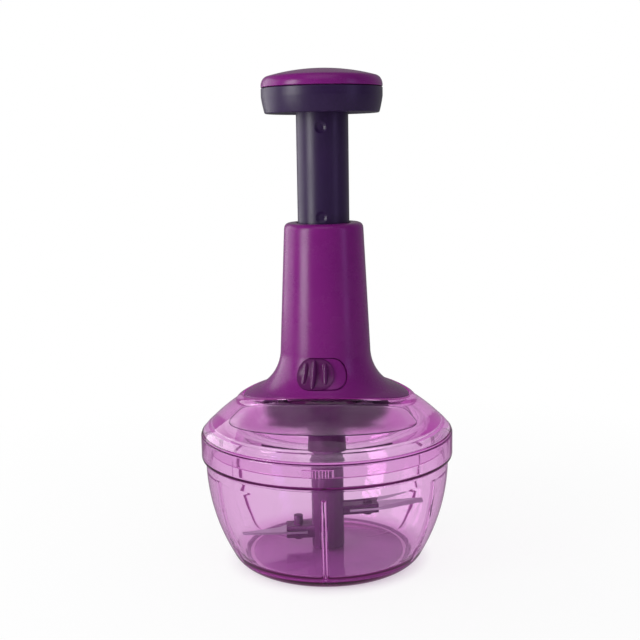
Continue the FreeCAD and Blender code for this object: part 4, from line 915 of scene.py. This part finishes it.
def make_stem():
    """Stem: a dark tube with two soft dimples on its front."""
    low, high = stem_low.z, stem_high.z
    heights = steps(low + STEM_BREAK, high, 90)
    for dimple in DIMPLE_HEIGHTS:
        heights += steps(dimple - DIMPLE - 0.3, dimple + DIMPLE + 0.3, 24)
    bore = STEM - STEM_WALL
    profile = [Vector((bore, low)), Vector((STEM - STEM_BREAK, low))]
    profile += [Vector((STEM, height)) for height in sorted(heights)]
    profile += [Vector((bore, high)), Vector((bore, low + STEM_BREAK))]

    def inwards(number, point, angle):
        if point.x < STEM:
            return 0.0
        across = apart(angle, FRONT) * STEM
        depth = 0.0
        for dimple in DIMPLE_HEIGHTS:
            away = math.hypot(across, point.y - dimple) / DIMPLE
            if away < 1:
                depth = DIMPLE_DEPTH * min(1.0, 2.2 * (1 - away)) ** 0.7
        return depth

    mesh = lathe("stem_mesh", profile, denser_angles(144, [(FRONT, 0.26, 48)]), ring=True,
                 shift=inwards, crease=40)
    piece("plunger_tube", "plunger", AUBERGINE, mesh, ["plunger_stem"])


GRIP_TALL = 12.2
GRIP_DRAW = 1.5
GRIP_WALL = 3.0
SCREW_BORE = 2.2
SPIGOT = 10.3
SPIGOT_DROP = 3.9
STEM_SOCKET = 4.0
KNOB_FLOOR = 6.6


def make_grip():
    """Dark ring of the knob: drawn in underneath, with a soft upper edge at the seam."""
    radius = grip_high.x
    top = grip_high.z
    bottom = top - GRIP_TALL
    foot = radius - GRIP_DRAW
    socket = STEM + 0.05
    profile = outline([
        (SCREW_BORE, bottom - SPIGOT_DROP),
        (SPIGOT, bottom - SPIGOT_DROP, 0.3),
        (SPIGOT, bottom + STEM_SOCKET),
        (socket, bottom + STEM_SOCKET),
        (socket, bottom + STEM_SOCKET - 0.6, 0.2, -30.0),
        (foot - 0.2, bottom, 1.3),
        (foot + 0.1, bottom + 1.2, 0.4, 60.0),
        (radius, top - 4.0, 0.4),
        (radius, top, 0.45),
        (radius - 2.0, top, 0.2),
        (radius - GRIP_WALL, top - 1.0),
        (radius - GRIP_WALL, bottom + KNOB_FLOOR),
        (SCREW_BORE, bottom + KNOB_FLOOR),
    ])
    mesh = lathe("grip_mesh", profile, ring=True)
    piece("knob_ring", "plunger", AUBERGINE, mesh, ["knob_grip"])


def crown(half_width, rise):
    """Radius of the arc that rises so much over half its width."""
    return (half_width * half_width + rise * rise) / (2 * rise)


CAP_WALL = 2.2
CAP_SHOULDER = 2.0
CAP_SHOULDER_HIGH = 5.0
CAP_LIP = (4.8, 3.1)
CAP_LIP_DROP = 2.2


def make_cap():
    """Domed cap of the knob, with a lip that goes into the ring."""
    radius = cap_high.x
    seam = grip_high.z + 0.3
    top = cap_high.z
    shoulder = radius - CAP_SHOULDER
    shoulder_height = seam + CAP_SHOULDER_HIGH
    hollow, hollow_top, hollow_edge = shoulder - CAP_WALL, top - CAP_WALL, shoulder_height - 1.1
    lip_inside, lip_outside = (radius - inset for inset in CAP_LIP)
    profile = outline([
        (0, hollow_top, 0, -crown(hollow, hollow_top - hollow_edge)),
        (hollow, hollow_edge, 0.5),
        (lip_inside, seam + 1.4),
        (lip_inside, seam - CAP_LIP_DROP, 0.2),
        (lip_outside, seam - CAP_LIP_DROP, 0.2),
        (lip_outside, seam, 0.2),
        (radius, seam, 0.4),
        (radius, seam + 0.5, 0.2, 5.5),
        (shoulder, shoulder_height, 0.9, crown(shoulder, top - shoulder_height)),
        (0, top),
    ])
    mesh = lathe("cap_mesh", profile)
    piece("knob_dome", "plunger", PURPLE, mesh, ["knob_cap"])


# Switch -------------------------------------------------------------------------------------

# Each fin's place across, half its height and how far it stands out.
FINS = ((-4.9, 4.9, 1.1), (-0.4, 6.4, 1.9), (4.9, 4.7, 1.1))
FIN_HALF_WIDTH = 1.35
BUTTON_PROUD = 0.35
BUTTON_DISH = 0.7
BUTTON_GAP = 0.4
BUTTON_ROWS = 72
BUTTON_SKIRT = 1.012
BUTTON_FOOT = 1.2


def flare_radius(height):
    """Radius of the handle's flare at a height."""
    for before, after in zip(FLARE, FLARE[1:]):
        if after.y <= height <= before.y:
            share = (before.y - height) / max(before.y - after.y, 1e-9)
            return before.x + (after.x - before.x) * share
    return FLARE[0].x


def on_handle(across, up, rise, turn=SWITCH_TURN):
    """A point over the handle's front, by arc across, height and rise, in millimetres."""
    height = SWITCH_HEIGHT + up
    angle = FRONT - turn + across / SWITCH_RADIUS
    return turned_point(flare_radius(height) + rise, angle, height)


def button_rise(across, up, share):
    """Height of the button over the handle: a narrow rim, a dish and three lens-shaped fins."""
    rise = BUTTON_PROUD - BUTTON_DISH * (1 - share ** 5)
    for centre, half_tall, top in FINS:
        if abs(up) >= half_tall:
            continue
        taper = math.sqrt(1 - (up / half_tall) ** 2)
        away = abs(across - centre) / (FIN_HALF_WIDTH * taper ** 0.7)
        if away < 1:
            rise += max((top - rise) * (1 - away ** 2.5) * taper ** 0.6, 0.0)
    return rise


def make_switch():
    """Thumb switch: a dished button with three fins, in its recess."""
    edge = stadium(BUTTON_WIDE, SWITCH_TALL - 2 * BUTTON_GAP, 160)
    rows = []
    for share in steps(0, 1, BUTTON_ROWS)[1:]:
        scaled = [(across * share, up * share) for across, up in edge]
        rows.append([on_handle(across, up, button_rise(across, up, share))
                     for across, up in scaled])
    for rise in (0.1, -BUTTON_FOOT):
        rows.append([on_handle(across * BUTTON_SKIRT, up * BUTTON_SKIRT, rise)
                     for across, up in edge])
    build = bmesh.new()
    capped_grid(build, rows)
    mesh = mesh_of(build, "button_mesh", 50)
    piece("lock_button", "lock", SWITCH_PAINTED_SHADE, mesh, ["lock_slider"])


# Blades -------------------------------------------------------------------------------------

# Each blade's node, direction in degrees, reach, and the reach of the arm under it.
BLADES = (("blade_low", 187.0, 44.0, 21.0), ("blade_mid", 97.0, 50.0, 21.0),
          ("blade_high", 14.0, 50.8, 25.5))
BLADE_ROOT = 10.5
BLADE_HALF = 5.25
BLADE_HALF_THICK = 0.6
BLADE_EDGE_THICK = 0.06
BLADE_SWEEP = 5.4
BLADE_HOOK = 4.6
BLADE_BEVEL = 2.6
TIP_WIDTH = 0.4


def blade_section(share):
    """The blade's section, side and up, at a share of the way from the arm's end to the tip."""
    thick = BLADE_HALF_THICK
    back = BLADE_HALF - 0.2 * share - BLADE_HOOK * max(share - 0.72, 0) ** 1.6
    edge = -BLADE_HALF + BLADE_SWEEP * math.sin(share * math.pi / 2) ** 1.5
    edge = min(edge + 1.6 * max(share - 0.6, 0), back - TIP_WIDTH)
    bevel = min(BLADE_BEVEL * min(share * 6, 1.0), (back - edge) * 0.8)
    fine = thick - (thick - BLADE_EDGE_THICK) * min(share * 8, 1.0)
    return [(back, thick), (back, -thick), (edge, -thick), (edge, fine - thick),
            (edge + bevel, thick)]


def make_blade(node, degrees, reach, arm_reach):
    """Sickle blade: flat back, curved ground edge and a hooked tip."""
    low, high = low_and_high(node)
    centre = (low.z + high.z) / 2
    angle = math.radians(degrees)
    rows = []
    for out in steps(BLADE_ROOT, reach, 60):
        share = max((out - arm_reach) / (reach - arm_reach), 0.0)
        rows.append([(out * math.cos(angle) - side * math.sin(angle),
                      out * math.sin(angle) + side * math.cos(angle),
                      centre + up) for side, up in blade_section(share)])
    build = bmesh.new()
    capped_grid(build, rows)
    mesh = mesh_of(build, node + "_mesh", 20)
    piece("ground_" + node, "blades", BLADE_STEEL, mesh, [node])


# Carried-over solids ------------------------------------------------------------------------

def dress(node, material, bevel):
    """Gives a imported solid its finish, and rounds its edges by a bevel in millimetres."""
    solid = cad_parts[node]
    solid.data.materials.clear()
    solid.data.materials.append(material)
    for face in solid.data.polygons:
        face.use_smooth = True
        face.material_index = 0
    weld = solid.modifiers.new("weld", "WELD")
    weld.merge_threshold = 1e-6
    if bevel:
        edges = solid.modifiers.new("bevel", "BEVEL")
        edges.width = bevel * MM
        edges.segments = 2
        edges.limit_method = "ANGLE"
        edges.angle_limit = math.radians(30)
        edges.harden_normals = True


DRESSING = {
    "foot_pad": (RUBBER, 0.1), "blade_pivot_pin": (STEEL, 0.2), "lid_seal": (SEAL, 0.0),
    "guide_sleeve": (ACETAL, 0.15), "base_plate": (DARK, 0.3), "base_plate_screws": (STEEL, 0.2),
    "spindle_bush": (BRONZE, 0.15), "lock_ring": (ACETAL, 0.15), "drive_nut": (ACETAL, 0.15),
    "nut_pins": (STEEL, 0.1), "knob_screw": (STEEL, 0.2), "return_spring": (SPRING_STEEL, 0.0),
    "twist_spindle": (STEEL, 0.1), "spring_seat": (ACETAL, 0.2), "thrust_washer": (STEEL, 0.1),
    "retaining_ring": (SPRING_STEEL, 0.1), "drive_head": (HUB, 0.25),
    "drive_head_screw": (STEEL, 0.2), "blade_hub": (HUB, 0.3), "blade_pins": (HUB, 0.5),
}


# Studio -------------------------------------------------------------------------------------

WHITE = (1, 1, 1, 1)
FLOOR_RADIUS = 1.2
SHADOW_REACH = 0.35


def make_world():
    """White sweep behind and below the object, a darker room in front of it."""
    world = bpy.data.worlds.new("studio")
    bpy.context.scene.world = world
    shader = Shader("studio", world)
    direction = shader.node("ShaderNodeTexCoord", output=0)
    depth = shader.node("ShaderNodeSeparateXYZ", {}, {0: direction}, output=1)
    height = shader.node("ShaderNodeSeparateXYZ", {}, {0: direction}, output=2)
    behind = shader.ramp(depth * 0.5 + 0.5, [(0.45, 0.01), (0.85, 0.3)])
    above = shader.ramp(height * 0.5 + 0.5, [(0.75, 0.0), (1.0, 0.1)])
    through = shader.ramp(depth * 0.5 + 0.5, [(0.2, 0.45), (0.5, 1.0)])

    def light(strength):
        return shader.node("ShaderNodeBackground", {}, {"Color": WHITE, "Strength": strength})

    reflected = light(behind.sum("MAXIMUM", behind, above))
    other = shader.mixed(shader.ray("Is Diffuse Ray"), reflected, light(0.5))
    inside = shader.mixed(shader.ray("Is Transmission Ray"), other, light(through))
    shader.finish(shader.mixed(shader.ray("Is Camera Ray"), inside, light(1.0)))


def make_floor():
    """Pale floor that keeps the object's soft shadow and fades into the white round it."""
    build = bmesh.new()
    bmesh.ops.create_circle(build, cap_ends=True, segments=64, radius=FLOOR_RADIUS)
    mesh = mesh_of(build, "floor_mesh")
    floor = bpy.data.objects.new("floor", mesh)
    bpy.context.scene.collection.objects.link(floor)
    shader = Shader("pale_floor")
    away = shader.node("ShaderNodeVectorMath", {"operation": "LENGTH"}, {0: shader.place()},
                       output=1)
    white = shader.node("ShaderNodeEmission", {}, {"Color": WHITE, "Strength": 1.0})
    matte = shader.node("ShaderNodeBsdfDiffuse", {}, {"Color": (0.9, 0.9, 0.9, 1)})
    share = shader.ramp(away / SHADOW_REACH, [(0.115, 0.4), (0.15, 0.88), (1.0, 1.0)])
    seen = shader.ray("Is Camera Ray") + shader.ray("Is Transmission Ray")
    dim = shader.node("ShaderNodeEmission", {}, {"Color": WHITE, "Strength": 0.25})
    lit = shader.mixed(seen.limited() * share, matte, white)
    mirrored = shader.mixed(shader.ray("Is Glossy Ray"), lit, dim)
    surface = shader.mixed(shader.ray("Is Transmission Ray"), mirrored, lit)
    mesh.materials.append(shader.finish(surface))


# Each lamp's name, azimuth and elevation in degrees, distance, width, height, watts and colour.
LAMPS = (
    ("key_softbox", -53, 6, 0.9, 0.34, 0.9, 8.0, (1, 1, 1)),
    ("side_softbox", -112, 6, 0.9, 0.8, 0.9, 4.5, (1, 1, 1)),
    ("fill_panel", 62, 8, 1.0, 0.22, 0.9, 1.3, (0.6, 0.45, 1.0)),
    ("top_softbox", 0, 60, 0.9, 0.6, 0.6, 0.8, (1, 1, 1)),
)
LAMP_AIM = Vector((0, 0, 0.12))


def softbox(name, azimuth, elevation, distance, width, height, watts, colour):
    """An area lamp that looks at the object. Azimuth 0 is in front, positive to the right."""
    data = bpy.data.lights.new(name, "AREA")
    data.shape = "RECTANGLE"
    data.size = width
    data.size_y = height
    data.energy = watts
    data.color = colour
    lamp = bpy.data.objects.new(name, data)
    bpy.context.scene.collection.objects.link(lamp)
    turn, rise = math.radians(azimuth), math.radians(elevation)
    lamp.location = LAMP_AIM + distance * Vector((
        math.sin(turn) * math.cos(rise), -math.cos(turn) * math.cos(rise), math.sin(rise)))
    lamp.rotation_euler = (LAMP_AIM - lamp.location).to_track_quat("-Z", "Y").to_euler()


CAMERA_DISTANCE = 509.0
CAMERA_HEIGHT = 205.5
CAMERA_AZIMUTH = math.radians(4.3)
CAMERA_PITCH = math.radians(9.46)
CAMERA_PAN = math.radians(0.28)
CAMERA_ROLL = math.radians(0.9)
CAMERA_FOCUS = 1050.0
PICTURE_WIDTH = 640.0
SENSOR_WIDTH = 36.0
LIGHT_BOUNCES = 24


def make_camera():
    """Camera in front of the switch, a little to the right and above, with a slight roll."""
    data = bpy.data.cameras.new("camera")
    data.sensor_width = SENSOR_WIDTH
    data.lens = CAMERA_FOCUS / PICTURE_WIDTH * SENSOR_WIDTH
    data.clip_start, data.clip_end = 0.01, 10
    camera = bpy.data.objects.new("camera", data)
    bpy.context.scene.collection.objects.link(camera)
    turn = Matrix.Rotation(CAMERA_AZIMUTH, 4, "Z")
    place = Matrix.Translation((0, -CAMERA_DISTANCE * MM, CAMERA_HEIGHT * MM))
    pan = Matrix.Rotation(CAMERA_PAN, 4, "Z")
    tilt = Matrix.Rotation(math.pi / 2 - CAMERA_PITCH, 4, "X")
    roll = Matrix.Rotation(-CAMERA_ROLL, 4, "Z")
    camera.matrix_world = turn @ place @ pan @ tilt @ roll
    bpy.context.scene.camera = camera


def make_studio():
    """World, floor, lamps and camera, with enough bounces for light in the clear plastic."""
    bpy.context.scene.view_settings.view_transform = "Standard"
    cycles = bpy.context.scene.cycles
    cycles.max_bounces = LIGHT_BOUNCES
    cycles.transmission_bounces = LIGHT_BOUNCES
    cycles.glossy_bounces = LIGHT_BOUNCES
    cycles.transparent_max_bounces = LIGHT_BOUNCES
    make_world()
    make_floor()
    for lamp in LAMPS:
        softbox(*lamp)
    make_camera()


# The whole chopper --------------------------------------------------------------------------

make_bowl()
make_lid()
make_panel("frosted_front_panel", 1)
make_panel("frosted_back_panel", -1)
make_plate_skirt()
make_handle()
make_switch()
make_stem()
make_grip()
make_cap()
for blade in BLADES:
    make_blade(*blade)
for node_name, (finish, rounding) in DRESSING.items():
    dress(node_name, finish, rounding)
make_studio()
